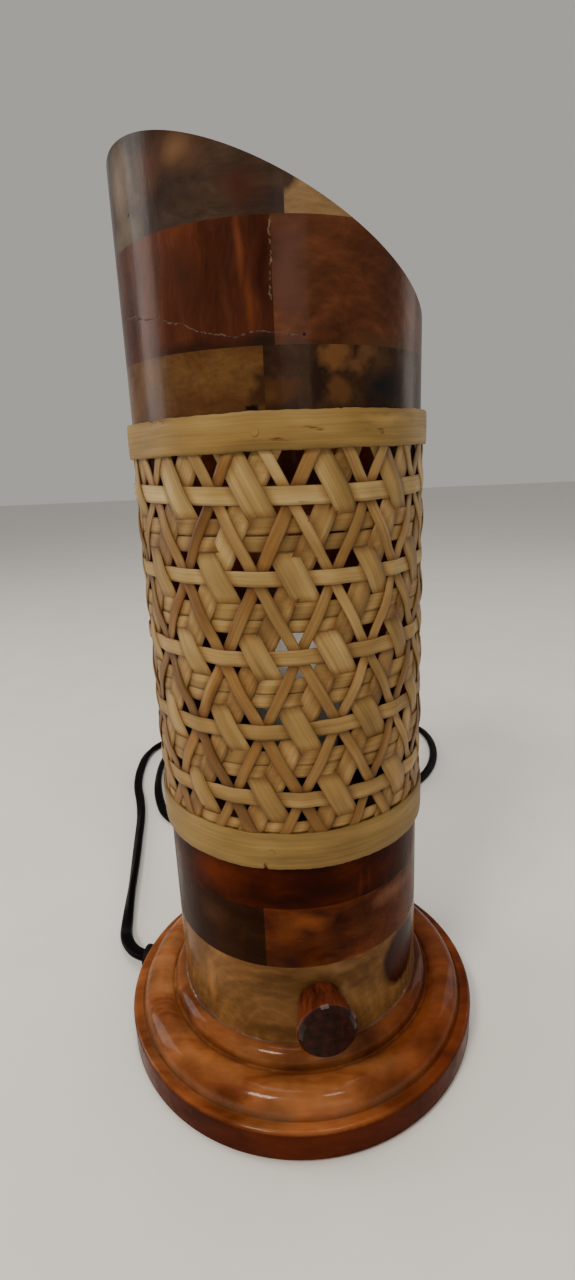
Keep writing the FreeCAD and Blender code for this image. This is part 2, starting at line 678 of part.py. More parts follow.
def make_wiring():
    """What the cord goes through inside the base, and the leads up the tube."""
    way = heading(EXIT_AZIMUTH)
    level = S["exit_height"]
    shank_start = S["cover_radius"] + 0.6
    collar_start = S["base_radius"]
    grommet = DOC.addObject("Part::Fuse", "grommet_solid")
    grommet.Base = rod(
        "grommet_shank",
        S["grommet_radius"] - 0.05,
        S["exit_reach"] - shank_start,
        out_at(EXIT_AZIMUTH, shank_start, level),
        way,
    )
    grommet.Tool = rod(
        "grommet_collar",
        S["grommet_radius"] + 1.2,
        S["exit_reach"] - collar_start,
        out_at(EXIT_AZIMUTH, collar_start, level),
        way,
    )
    passage = rod(
        "grommet_passage",
        S["cord_radius"],
        30.0,
        out_at(EXIT_AZIMUTH, shank_start - 1.0, level),
        way,
    )
    keep(cut("cord_grommet", grommet, [passage]), "cord_grommet")

    inner_start = S["terminal_reach"] + S["terminal_length"] * 0.5
    inner_length = S["exit_reach"] - inner_start
    inner_end = out_at(EXIT_AZIMUTH, inner_start, level)
    keep(rod("cord_inner", S["cord_radius"], inner_length, inner_end, way), "cord_inner")

    cover_top = S["felt_thick"] + S["cover_thick"]
    middle = out_at(EXIT_AZIMUTH, S["terminal_reach"], cover_top + S["terminal_height"] * 0.5)
    sides = (S["terminal_length"], 16.0, S["terminal_height"])
    keep(block("terminal_block", sides, middle, EXIT_AZIMUTH), "terminal_block")

    clamp_height = S["cavity_top"] - cover_top - 0.4
    middle = out_at(EXIT_AZIMUTH, S["clamp_reach"], S["cavity_top"] - clamp_height * 0.5)
    sides = (S["clamp_length"], S["clamp_width"], clamp_height)
    body = block("clamp_body", sides, middle, EXIT_AZIMUTH)
    channel_start = out_at(EXIT_AZIMUTH, S["clamp_reach"] - S["clamp_length"], level)
    channel = rod("clamp_channel", S["cord_radius"], S["clamp_length"] * 2, channel_start, way)
    keep(cut("cord_clamp", body, [channel]), "cord_clamp")
    screws = []
    for i, side in enumerate((-8.0, 8.0)):
        x = S["clamp_reach"] * way.x - way.y * side
        y = S["clamp_reach"] * way.y + way.x * side
        tip = (x, y, S["cavity_top"] + 8.0)
        screws.append(screw(f"clamp_screw_{i}", tip, 14.5, 1.3, 2.4, 1.2, (0, 0, 1)))
    keep(group("clamp_screws", screws), "clamp_screws")

    lead_radius = S["lead_radius"].value
    block_top = cover_top.value + S["terminal_height"].value
    board_top = S["seam_mid"].value + S["platform_thick"].value
    shift = S["holder_shift"].value
    case_low = S["knob_height"].value - S["case_side"].value / 2
    case_spot = heading(KNOB_AZIMUTH) * (S["case_face"].value - S["case_depth"].value / 2)
    holder_leads = []
    dimmer_leads = []
    for i, side in enumerate((-1, 1)):
        route = [
            (-9, 3 + 3 * side, block_top),
            (-9, 3 + 3 * side, 34),
            (shift - 3 * side, 2 * side, 66),
            (shift - 3 * side, 2 * side + 0.5, board_top),
        ]
        holder_leads.append(tube_along(f"holder_lead_{i}", route, lead_radius))
        route = [
            (-3, 2 + 3 * side, block_top),
            (-2.5, 1 + 3 * side, 20),
            (case_spot.x + 4 * side, -14, 22),
            (case_spot.x + 4 * side, case_spot.y, case_low),
        ]
        dimmer_leads.append(tube_along(f"dimmer_lead_{i}", route, lead_radius))
    keep(group("holder_leads", holder_leads), "holder_leads")
    keep(group("dimmer_leads", dimmer_leads), "dimmer_leads")


# ---------------------------------------------------------------- mains cord

FLOOR = 3.1  # height of the cord's middle where it lies on the table

# The cord leaves the grommet, goes back along the left, round behind the lamp, back along
# the right, across behind the base, up the left again inside the first loop, and into a coil.
CORD_ROUTE = [
    (-74.1, 19.9, 8.2),
    (-78.6, 22.5, 7.5),
    (-83.2, 27.3, 6.4),
    (-87.6, 34.8, 5.3),
    (-90.3, 43.5, 4.4),
    (-91.9, 54.0, 3.6),
    (-93.9, 69.3, FLOOR),
    (-95.9, 87.2, FLOOR),
    (-99.4, 113.3, FLOOR),
    (-102.6, 135.9, FLOOR),
    (-105.6, 158.3, FLOOR),
    (-110.6, 180.5, FLOOR),
    (-117.2, 201.7, FLOOR),
    (-120.2, 221.0, FLOOR),
    (-121.4, 238.0, FLOOR),
    (-121.2, 254.0, FLOOR),
    (-117.6, 268.5, FLOOR),
    (-108.5, 279.5, FLOOR),
    (-93.0, 286.0, FLOOR),
    (-71.0, 291.0, FLOOR),
    (-45.0, 296.5, FLOOR),
    (-14.0, 300.0, FLOOR),
    (18.0, 305.0, FLOOR),
    (48.0, 311.5, FLOOR),
    (72.0, 313.5, FLOOR),
    (91.0, 309.0, FLOOR),
    (105.0, 298.5, FLOOR),
    (114.6, 284.5, FLOOR),
    (117.8, 267.5, FLOOR),
    (117.4, 248.5, FLOOR),
    (113.6, 230.0, FLOOR),
    (107.6, 213.5, FLOOR),
    (99.5, 199.0, FLOOR),
    (90.0, 187.5, FLOOR),
    (74.0, 178.0, FLOOR),
    (54.0, 170.5, FLOOR),
    (28.0, 163.5, FLOOR),
    (2.0, 158.5, FLOOR),
    (-23.0, 151.5, FLOOR),
    (-45.0, 147.0, FLOOR),
    (-63.5, 144.5, FLOOR),
    (-79.0, 148.5, FLOOR),
    (-90.0, 161.5, FLOOR),
    (-96.4, 179.0, FLOOR),
    (-101.4, 198.0, FLOOR),
    (-104.2, 218.0, FLOOR),
    (-105.0, 237.0, FLOOR),
    (-103.4, 254.5, FLOOR),
    (-96.5, 269.5, FLOOR),
    (-85.0, 280.0, FLOOR),
    (-68.5, 285.0, FLOOR),
    (-48.0, 284.0, FLOOR),
    (-26.0, 278.5, FLOOR),
    (-5.0, 271.0, FLOOR),
    (14.0, 265.5, FLOOR),
    (25.0, 264.2, FLOOR),
]

COIL_CENTRE = (25.0, 225.0)

# From the top turn of the coil to the plug beside it.
CORD_END_ROUTE = [
    (14.0, 190.6, 8.9),
    (4.0, 188.4, 9.2),
    (-7.0, 189.2, 9.3),
    (-18.0, 189.0, 9.0),
]


def make_cord():
    """The mains cord: the loose stretch, the coil and the end."""
    radius = S["cord_radius"].value
    keep(tube_along("cord", CORD_ROUTE, radius), "cord")
    edge = 2.5
    outline = [
        (S["coil_inner"] + edge, 0),
        (S["coil_outer"] - edge, 0),
        (S["coil_outer"], edge, edge, 1),
        (S["coil_outer"], S["coil_height"] - edge),
        (S["coil_outer"] - edge, S["coil_height"], edge, 1),
        (S["coil_inner"] + edge, S["coil_height"]),
        (S["coil_inner"], S["coil_height"] - edge, edge, 1),
        (S["coil_inner"], edge),
    ]
    coil = turned("cord_coil", outline)
    keep(place(coil, (*COIL_CENTRE, 0)), "cord_coil")
    keep(tube_along("cord_end", CORD_END_ROUTE, radius), "cord_end")


def make_plug():
    """A flat-sided round two-pin plug that lies on the table and points to the left."""
    length = S["plug_length"]
    radius = S["plug_radius"]
    neck_end = 9.0
    shoulder = 22.0
    widest = 28.0
    edge = 1.5
    outline = [
        (0, 0),
        (5.0, 0),
        (6.5, neck_end),
        (radius - 2.5, shoulder),
        (radius, widest),
        (radius, length - edge),
        (radius - edge, length, edge, 1),
        (0, length),
    ]
    to_left = FreeCAD.Rotation(FreeCAD.Vector(0, 0, 1), FreeCAD.Vector(-1, 0, 0))
    x, y, z = CORD_END_ROUTE[-1]
    plug = DOC.addObject("Part::Common", "plug_body")
    plug.Base = place(turned("plug_turned", outline), (x, y, z), to_left)
    plug.Tool = block(
        "plug_slab", (length + 2.0, radius * 2 + 2.0, S["plug_thick"]), (x - length * 0.5, y, z)
    )
    keep(plug, "plug_body")
    pins = []
    for i, side in enumerate((-0.5, 0.5)):
        root = (x - length, y + S["pin_spacing"] * side, z)
        pins.append(rod(f"plug_pin_{i}", S["pin_radius"], S["pin_length"], root, (-1, 0, 0)))
    keep(group("plug_pins", pins), "plug_pins")


def check_document():
    """Stops on any object that failed or any sub-part without a sound shape."""
    for thing in DOC.Objects:
        if "Invalid" in thing.State or "Error" in thing.State:
            raise RuntimeError(f"{thing.Name} failed: {thing.State}")
    for piece in PIECES:
        shape = piece.Shape
        if shape.isNull() or not shape.isValid() or not shape.Solids:
            raise RuntimeError(f"{piece.Label} has no valid solid")


def write_files():
    os.makedirs("parts", exist_ok=True)
    for piece in PIECES:
        piece.Shape.exportStep(f"parts/{piece.Label}.step")
    print(len(PIECES), "sub-parts written")


def main():
    make_base()
    make_lower_rings()
    make_back_wall()
    make_upper_rings()
    make_bamboo()
    make_light()
    make_dimmer()
    make_wiring()
    make_cord()
    make_plug()
    DOC.recompute()
    check_document()
    write_files()


main()
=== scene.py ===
import math

import bpy
import numpy as np
from mathutils import Matrix, Vector


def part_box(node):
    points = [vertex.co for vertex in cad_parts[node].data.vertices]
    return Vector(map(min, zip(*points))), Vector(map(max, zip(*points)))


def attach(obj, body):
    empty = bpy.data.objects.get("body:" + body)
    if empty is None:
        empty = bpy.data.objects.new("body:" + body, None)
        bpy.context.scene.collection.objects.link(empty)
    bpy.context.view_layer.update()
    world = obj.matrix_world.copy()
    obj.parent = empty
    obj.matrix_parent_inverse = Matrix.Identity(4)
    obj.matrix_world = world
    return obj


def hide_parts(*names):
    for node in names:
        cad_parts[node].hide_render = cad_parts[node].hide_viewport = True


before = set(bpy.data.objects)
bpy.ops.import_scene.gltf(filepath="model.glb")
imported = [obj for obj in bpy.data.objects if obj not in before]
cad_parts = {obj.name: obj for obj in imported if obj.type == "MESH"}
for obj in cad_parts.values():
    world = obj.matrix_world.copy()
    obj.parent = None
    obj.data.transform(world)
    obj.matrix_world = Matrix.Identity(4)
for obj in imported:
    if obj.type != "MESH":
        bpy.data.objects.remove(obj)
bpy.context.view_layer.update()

MM = 0.001
BODY = "lamp"


def node_low(name):
    """The height of a CAD node's lowest point, in millimetres."""
    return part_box(name)[0][2] / MM


def node_high(name, axis=2):
    """How high a CAD node reaches, or how far along another axis, in millimetres."""
    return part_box(name)[1][axis] / MM


TUBE_RADIUS = node_high("lower_ring_3", 0)


def smooth(t):
    """Smooth step from 0 to 1, for numbers and arrays."""
    t = np.clip(t, 0.0, 1.0)
    return t * t * (3.0 - 2.0 * t)


def add_object(name, data):
    """An object with this data, linked to the scene."""
    obj = bpy.data.objects.new(name, data)
    bpy.context.scene.collection.objects.link(obj)
    return obj


# -------- camera


def make_camera():
    """A wide phone camera close to the lamp, a little above its middle."""
    place = (0.0, -0.2425, 0.2396)
    pitch, roll, yaw = 0.2778, -0.043, 0.002
    level = math.cos(pitch)
    forward = Vector((math.sin(yaw) * level, math.cos(yaw) * level, -math.sin(pitch)))
    right = Vector((math.cos(yaw), -math.sin(yaw), 0.0))
    up = right.cross(forward)
    side = right * math.cos(roll) + up * math.sin(roll)
    top = up * math.cos(roll) - right * math.sin(roll)
    data = bpy.data.cameras.new("camera")
    data.lens = 18.27
    data.sensor_width = 36.0
    data.clip_start = 0.01
    camera = add_object("camera", data)
    turn = Matrix((side, top, -forward)).transposed().to_4x4()
    camera.matrix_world = Matrix.Translation(place) @ turn
    bpy.context.scene.camera = camera


make_camera()


# -------- meshes


def link_mesh(name, points, faces):
    """A smooth mesh object from points in millimetres, riding on the lamp."""
    mesh = bpy.data.meshes.new(name)
    mesh.from_pydata([tuple(p) for p in np.asarray(points) * MM], [], faces)
    mesh.update()
    mesh.polygons.foreach_set("use_smooth", [True] * len(mesh.polygons))
    obj = add_object(name, mesh)
    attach(obj, BODY)
    return obj


def sweep_faces(rings, around, closed=False, base=0):
    """Quads between consecutive rings of points, with end caps unless closed."""
    faces = []
    for i in range(rings if closed else rings - 1):
        a = base + i * around
        b = base + ((i + 1) % rings) * around
        for k in range(around):
            n = (k + 1) % around
            faces.append((a + k, a + n, b + n, b + k))
    if not closed:
        faces.append(tuple(base + k for k in reversed(range(around))))
        faces.append(tuple(base + (rings - 1) * around + k for k in range(around)))
    return faces


def set_vectors(obj, name, values):
    """Stores one vector on each point of a mesh, for its material to read."""
    layer = obj.data.attributes.new(name, "FLOAT_VECTOR", "POINT")
    layer.data.foreach_set("vector", np.asarray(values, dtype=np.float32).ravel())


def on_tube(azimuth, height, radius):
    """Points on a cylinder round the lamp's axis, azimuths in degrees."""
    turn = np.radians(azimuth)
    return np.stack([np.sin(turn) * radius, -np.cos(turn) * radius, height + 0.0 * turn], axis=-1)


# -------- mains cord

CORD_WIDTH = 6.2
CORD_THICK = 4.0
LYING = 3.1  # height of the cord's middle where it lies on the table

# From the grommet down to the table.
CORD_START = [
    (-74.1, 19.9, 8.2), (-78.6, 22.5, 7.5), (-83.2, 27.3, 6.4),
    (-87.6, 34.8, 5.3), (-90.3, 43.5, 4.4), (-91.9, 54.0, 3.6),
]
# Back along the left, round behind the lamp, back along the right, across behind the base,
# up the left again inside the first loop, and into the coil.
CORD_ON_TABLE = [
    (-93.9, 69.3), (-95.9, 87.2), (-99.4, 113.3), (-102.6, 135.9), (-105.6, 158.3),
    (-110.6, 180.5), (-117.2, 201.7), (-120.2, 221.0), (-121.4, 238.0), (-121.2, 254.0),
    (-117.6, 268.5), (-108.5, 279.5), (-93.0, 286.0), (-71.0, 291.0), (-45.0, 296.5),
    (-14.0, 300.0), (18.0, 305.0), (48.0, 311.5), (72.0, 313.5), (91.0, 309.0),
    (105.0, 298.5), (114.6, 284.5), (117.8, 267.5), (117.4, 248.5), (113.6, 230.0),
    (107.6, 213.5), (99.5, 199.0), (90.0, 187.5), (74.0, 178.0), (54.0, 170.5),
    (28.0, 163.5), (2.0, 158.5), (-23.0, 151.5), (-45.0, 147.0), (-63.5, 144.5),
    (-79.0, 148.5), (-90.0, 161.5), (-96.4, 179.0), (-101.4, 198.0), (-104.2, 218.0),
    (-105.0, 237.0), (-103.4, 254.5), (-96.5, 269.5), (-85.0, 280.0), (-68.5, 285.0),
    (-48.0, 284.0), (-26.0, 278.5), (-5.0, 271.0), (14.0, 265.5), (25.0, 264.2),
]
CORD_ROUTE = CORD_START + [(x, y, LYING) for x, y in CORD_ON_TABLE]

COIL_CENTRE = (25.0, 225.0)

# From the top turn of the coil to the plug beside it.
CORD_END_ROUTE = [(14.0, 190.6, 8.9), (4.0, 188.4, 9.2), (-7.0, 189.2, 9.3), (-18.0, 189.0, 9.0)]


def coil_points():
    """Two turns side by side on the table and the rest on top, clockwise from above."""
    per_turn = 16
    turns = 3.5
    outer, inner, upper = 39.4, 33.0, 36.2
    on_top, at_plug = 6.9, 8.9
    right, back = COIL_CENTRE
    points = []
    for i in range(1, int(turns * per_turn) + 1):
        turn = i / per_turn
        radius = outer + (inner - outer) * smooth((turn - 0.8) / 0.3)
        radius += (upper - inner) * smooth((turn - 1.95) / 0.35)
        height = LYING + (on_top - LYING) * smooth((turn - 1.9) / 0.35)
        height += (at_plug - on_top) * smooth((turn - 3.2) / 0.3)
        angle = math.pi / 2 - 2 * math.pi * turn
        points.append((right + radius * math.cos(angle), back + radius * math.sin(angle), height))
    return points


def follow(points):
    """Evenly smooth points along the NURBS curve that these points control, in millimetres."""
    data = bpy.data.curves.new("cord_route", "CURVE")
    data.dimensions = "3D"
    data.resolution_u = 10
    spline = data.splines.new("NURBS")
    spline.points.add(len(points) - 1)
    for target, point in zip(spline.points, points):
        target.co = (*[c * MM for c in point], 1.0)
    spline.order_u = 3
    spline.use_endpoint_u = True
    helper = add_object("cord_route", data)
    line = bpy.data.meshes.new_from_object(helper)
    read = np.array([tuple(v.co) for v in line.vertices]) / MM
    bpy.data.objects.remove(helper)
    bpy.data.meshes.remove(line)
    return read


def twin_section():
    """Outline of the flat twin cord: two round cores side by side with a shallow groove."""
    half = CORD_THICK / 2
    centre = CORD_WIDTH / 2 - half
    angles = np.radians(np.arange(-68, 69, 17.0))
    right = np.stack([centre + half * np.cos(angles), half * np.sin(angles)], axis=1)
    groove = np.array([[0.0, half * 0.8]])
    return np.concatenate([right, groove, -right, -groove])


def make_cord():
    """The flat twin cord as one mesh tube along its route."""
    line = follow(CORD_ROUTE + coil_points() + CORD_END_ROUTE)
    ahead = np.gradient(line, axis=0)
    ahead /= np.linalg.norm(ahead, axis=1)[:, None]
    gone = np.concatenate([[0.0], np.cumsum(np.linalg.norm(np.diff(line, axis=0), axis=1))])
    level = np.cross(ahead, (0.0, 0.0, 1.0))
    level /= np.linalg.norm(level, axis=1)[:, None]
    rise = np.cross(level, ahead)
    # The cord lies flat at the grommet and in the coil, and rolls towards its edge in between.
    rolls = smooth((gone - 20.0) / 60.0) * smooth((930.0 - gone) / 80.0)
    twist = rolls * (0.75 + 0.7 * np.sin(gone / 47.0 + 0.6) + 0.25 * np.sin(gone / 19.0))
    section = twin_section()
    across = section[:, 0][None, :, None]
    through = section[:, 1][None, :, None]
    wide = level * np.cos(twist)[:, None] + rise * np.sin(twist)[:, None]
    thin = rise * np.cos(twist)[:, None] - level * np.sin(twist)[:, None]
    points = line[:, None, :] + wide[:, None, :] * across + thin[:, None, :] * through
    # Where it lies on the table, its lowest side comes down to just over it.
    low = points[:, :, 2].min(axis=1)
    resting = 1.0 - smooth((line[:, 2] - LYING - 0.4) / 1.6)
    clearance = 0.06
    points[:, :, 2] -= ((low - clearance) * resting)[:, None]
    around = len(section)
    cord = link_mesh("mains_cord", points.reshape(-1, 3), sweep_faces(len(line), around))
    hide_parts("cord", "cord_coil", "cord_end")
    boot = make_plug_boot()


def turned_mesh(name, profile, origin, axis):
    """A closed turned piece from (radius, distance) points, about an axis from an origin."""
    turn = Vector((0, 0, 1)).rotation_difference(Vector(axis)).to_matrix()
    around = 48
    angles = np.linspace(0, 2 * math.pi, around, endpoint=False)
    points = []
    for radius, distance in profile:
        for angle in angles:
            local = Vector((radius * math.cos(angle), radius * math.sin(angle), distance))
            points.append(Vector(origin) + turn @ local)
    return link_mesh(name, points, sweep_faces(len(profile), around))


def make_plug_boot():
    """The ribbed strain relief where the cord goes into the plug."""
    length, in_plug = 22.0, 1.5
    cord_end, plug_end = 3.7, 5.6  # radii
    ribs, rib_height = 7, 0.45
    profile = []
    for i in range(ribs * 4 + 1):
        share = i / (ribs * 4)
        rib = rib_height if i % 4 in (1, 2) else 0.0
        profile.append((cord_end + (plug_end - cord_end) * share + rib, length * share))
    low, high = np.array(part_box("plug_body")) / MM
    middle = (low + high) / 2
    start = (high[0] + length - in_plug, middle[1], middle[2])
    boot = turned_mesh("plug_boot", profile, start, (-1, 0, 0))
    return boot


make_cord()


# -------- materials

LEVEL_GRAIN = (0.07, 1.0, 1.0)
UPRIGHT_GRAIN = (1.0, 1.0, 0.06)
EVEN_GRAIN = (1.0, 1.0, 1.0)


class Paint:
    """One procedural material, put together node by node."""

    def __init__(self, name, settings=()):
        self.material = bpy.data.materials.new(name)
        self.material.use_nodes = True
        self.tree = self.material.node_tree
        self.shader = self.tree.nodes["Principled BSDF"]
        for socket, value in dict(settings).items():
            self.shader.inputs[socket].default_value = value

    def put(self, socket, value):
        if isinstance(value, bpy.types.NodeSocket):
            self.tree.links.new(value, socket)
        else:
            socket.default_value = value

    def add(self, kind, *values, out=0, **settings):
        """A node with its settings and first inputs; returns one of its outputs."""
        node = self.tree.nodes.new(kind)
        for key, value in settings.items():
            setattr(node, key, value)
        for socket, value in zip(node.inputs, values):
            if value is not None:
                self.put(socket, value)
        return node.outputs[out]

    def math(self, operation, *values):
        return self.add("ShaderNodeMath", *values, operation=operation)

    def times(self, first, second):
        return self.math("MULTIPLY", first, second)

    def plus(self, first, second):
        return self.math("ADD", first, second)

    def weigh(self, first, share, second, other_share):
        """Two values, each times its share, added."""
        return self.plus(self.times(first, share), self.times(second, other_share))

    def vector(self, operation, *values, out=0):
        return self.add("ShaderNodeVectorMath", *values, operation=operation, out=out)

    def stretch(self, vector, factors):
        return self.vector("MULTIPLY", vector, factors)

    def shift(self, vector, other):
        return self.vector("ADD", vector, other)

    def place(self):
        """Place on the lamp in millimetres."""
        spot = self.add("ShaderNodeTexCoord", out=3)
        return self.stretch(spot, (1 / MM, 1 / MM, 1 / MM))

    def noise(self, vector, scale=1.0, detail=3.0, rough=0.55, out=0):
        return self.add("ShaderNodeTexNoise", vector, None, scale, detail, rough, out=out)

    def wander(self, vector, scale, reach):
        """The vector, pushed about by noise."""
        push = self.noise(vector, scale, 2.0, out=1)
        push = self.vector("SUBTRACT", push, (0.5, 0.5, 0.5))
        return self.shift(vector, self.stretch(push, (reach, reach, reach)))

    def ramp(self, value, *stops):
        """Colours or greys at places along a value; stops are (place, colour)."""
        node = self.tree.nodes.new("ShaderNodeValToRGB")
        self.put(node.inputs[0], value)
        ramp = node.color_ramp
        while len(ramp.elements) < len(stops):
            ramp.elements.new(0.5)
        for element, (spot, shade) in zip(ramp.elements, stops):
            element.position = spot
            if not isinstance(shade, tuple):
                shade = (shade, shade, shade)
            element.color = (*shade, 1.0)
        return node.outputs[0]

    def mix(self, share, first, second, blend="MIX"):
        node = self.tree.nodes.new("ShaderNodeMix")
        node.data_type = "RGBA"
        node.blend_type = blend
        self.put(node.inputs[0], share)
        for socket, value in ((node.inputs[6], first), (node.inputs[7], second)):
            if isinstance(value, tuple):
                value = (*value, 1.0)
            self.put(socket, value)
        return node.outputs[2]

    def tint(self, tone, factors, share=1.0):
        """The tone times other colours or greys."""
        return self.mix(share, tone, factors, "MULTIPLY")

    def split(self, vector):
        return self.add("ShaderNodeSeparateXYZ", vector).node.outputs

    def unrolled(self):
        """(millimetres round the tube, height, distance from the axis)."""
        x, y, z = self.split(self.place())
        angle = self.math("ARCTAN2", x, self.times(y, -1.0))
        reach = self.math("SQRT", self.plus(self.times(x, x), self.times(y, y)))
        return self.add("ShaderNodeCombineXYZ", self.times(angle, TUBE_RADIUS), z, reach)

    def about(self, flat, azimuth, height, wide, high):
        """Distance from a spot on the tube, 1 at the edge of an oval round it."""
        centre = (-math.radians(azimuth) * TUBE_RADIUS, -height, 0.0)
        local = self.stretch(self.shift(flat, centre), (1 / wide, 1 / high, 0.0))
        return self.vector("LENGTH", local, out=1)

    def finish(self, tone, rough, relief, depth, strength=0.5):
        """Gives the shader its colour, roughness and relief; returns the material."""
        bump = self.tree.nodes.new("ShaderNodeBump")
        bump.inputs["Strength"].default_value = strength
        bump.inputs["Distance"].default_value = depth * MM
        self.put(bump.inputs["Height"], relief)
        values = (("Base Color", tone), ("Roughness", rough), ("Normal", bump.outputs[0]))
        for name, value in values:
            self.put(self.shader.inputs[name], value)
        return self.material


def colour(*channels):
    """A colour given as the eye sees it, 0 to 255, as the shader's linear values."""
    shares = [c / 255 for c in channels]
    return tuple(c / 12.92 if c <= 0.04045 else ((c + 0.055) / 1.055) ** 2.4 for c in shares)


def colours(tones, gain=(1.0, 1.0, 1.0)):
    """Several colours given as the eye sees them, each channel times its gain."""
    return [tuple(c * g for c, g in zip(colour(*tone), gain)) for tone in tones]


def dress(name, material):
    """Gives a CAD node or a piece its material."""
    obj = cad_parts.get(name) or bpy.data.objects[name]
    obj.data.materials.clear()
    obj.data.materials.append(material)


def lacquer(sheen, coat):
    """Shader settings of clear varnish: warm, faint mirror with a thin bright top coat."""
    return {
        "Specular IOR Level": sheen,
        "Specular Tint": (1.0, 0.86, 0.74, 1.0),
        "Coat Weight": coat,
        "Coat Roughness": 0.1,
    }


def mark(azimuth, height, wide, high, shade, soft=0.9, warp=6.0, fine=0.09, share=1.0):
    """A patch of another colour: its place in degrees and mm, and half its size in mm.

    soft is how much of it is its faded edge; warp and fine bend its outline; share is how
    strongly it covers.
    """
    return (azimuth, height, wide, high, colour(*shade), soft, warp, fine, share)


def add_marks(paint, flat, tone, marks):
    """The tone with marks laid over it; flat is the unrolled place on the tube."""
    for number, (azimuth, height, wide, high, shade, soft, warp, fine, share) in enumerate(marks):
        moved = flat
        if warp:
            moved = paint.shift(flat, (number * 37.0, number * 11.0, 0.0))
            moved = paint.wander(moved, fine, warp * 2)
            moved = paint.shift(moved, (number * -37.0, number * -11.0, 0.0))
        reach = paint.about(moved, azimuth, height, wide, high)
        mask = paint.ramp(reach, (max(1 - soft, 0.0), share), (1.0, 0.0))
        tone = paint.mix(mask, tone, shade)
    return tone


def wood(
    node, name, tones, *marks, grain=LEVEL_GRAIN, scale=0.09, streaks=0.35, cloud=0.5,
    arcs=None, sheen=0.06, coat=0.06, gain=(1.0, 1.0, 1.0),
):
    """Lacquered wood of three tones for a CAD node.

    grain stretches the figure; cloud and streaks are how strong they are; arcs are (azimuth,
    height, spacing, strength) of growth rings round a spot; marks are laid on top.
    """
    paint = Paint(name, lacquer(sheen, coat))
    spot = paint.place()
    along = paint.stretch(paint.wander(spot, 0.035, 14.0), grain)
    bands = paint.noise(along, scale, 4.0, 0.6)
    tone = paint.ramp(bands, *zip((0.3, 0.5, 0.7), colours(tones, gain)))
    clouds = paint.noise(spot, 0.045, 3.0)
    tone = paint.tint(tone, paint.ramp(clouds, (0.35, 1.0 - cloud), (0.65, 1.0 + cloud * 0.3)))
    fibre = paint.noise(along, scale * 9, 4.0, 0.7)
    tone = paint.tint(tone, paint.ramp(fibre, (0.3, 0.35), (0.62, 1.25)), streaks)
    pores = paint.noise(along, scale * 40, 2.0, 0.5)
    tone = paint.tint(tone, paint.ramp(pores, (0.26, 0.45), (0.36, 1.0)), 0.5)
    flat = paint.unrolled() if marks or arcs else None
    if arcs:
        azimuth, height, spacing, strength = arcs
        reach = paint.about(paint.wander(flat, 0.06, 9.0), azimuth, height, spacing, spacing)
        rings = paint.math("SINE", paint.times(reach, 2 * math.pi))
        tone = paint.tint(tone, paint.ramp(rings, (0.0, 0.55), (1.0, 1.35)), strength)
    tone = add_marks(paint, flat, tone, marks)
    smears = paint.noise(paint.stretch(spot, (1.0, 1.0, 0.4)), 0.11, 4.0, 0.6)
    rough = paint.ramp(smears, (0.3, 0.17), (0.7, 0.36))
    dress(node, paint.finish(tone, rough, paint.weigh(smears, 1.6, fibre, 0.25), 0.22))


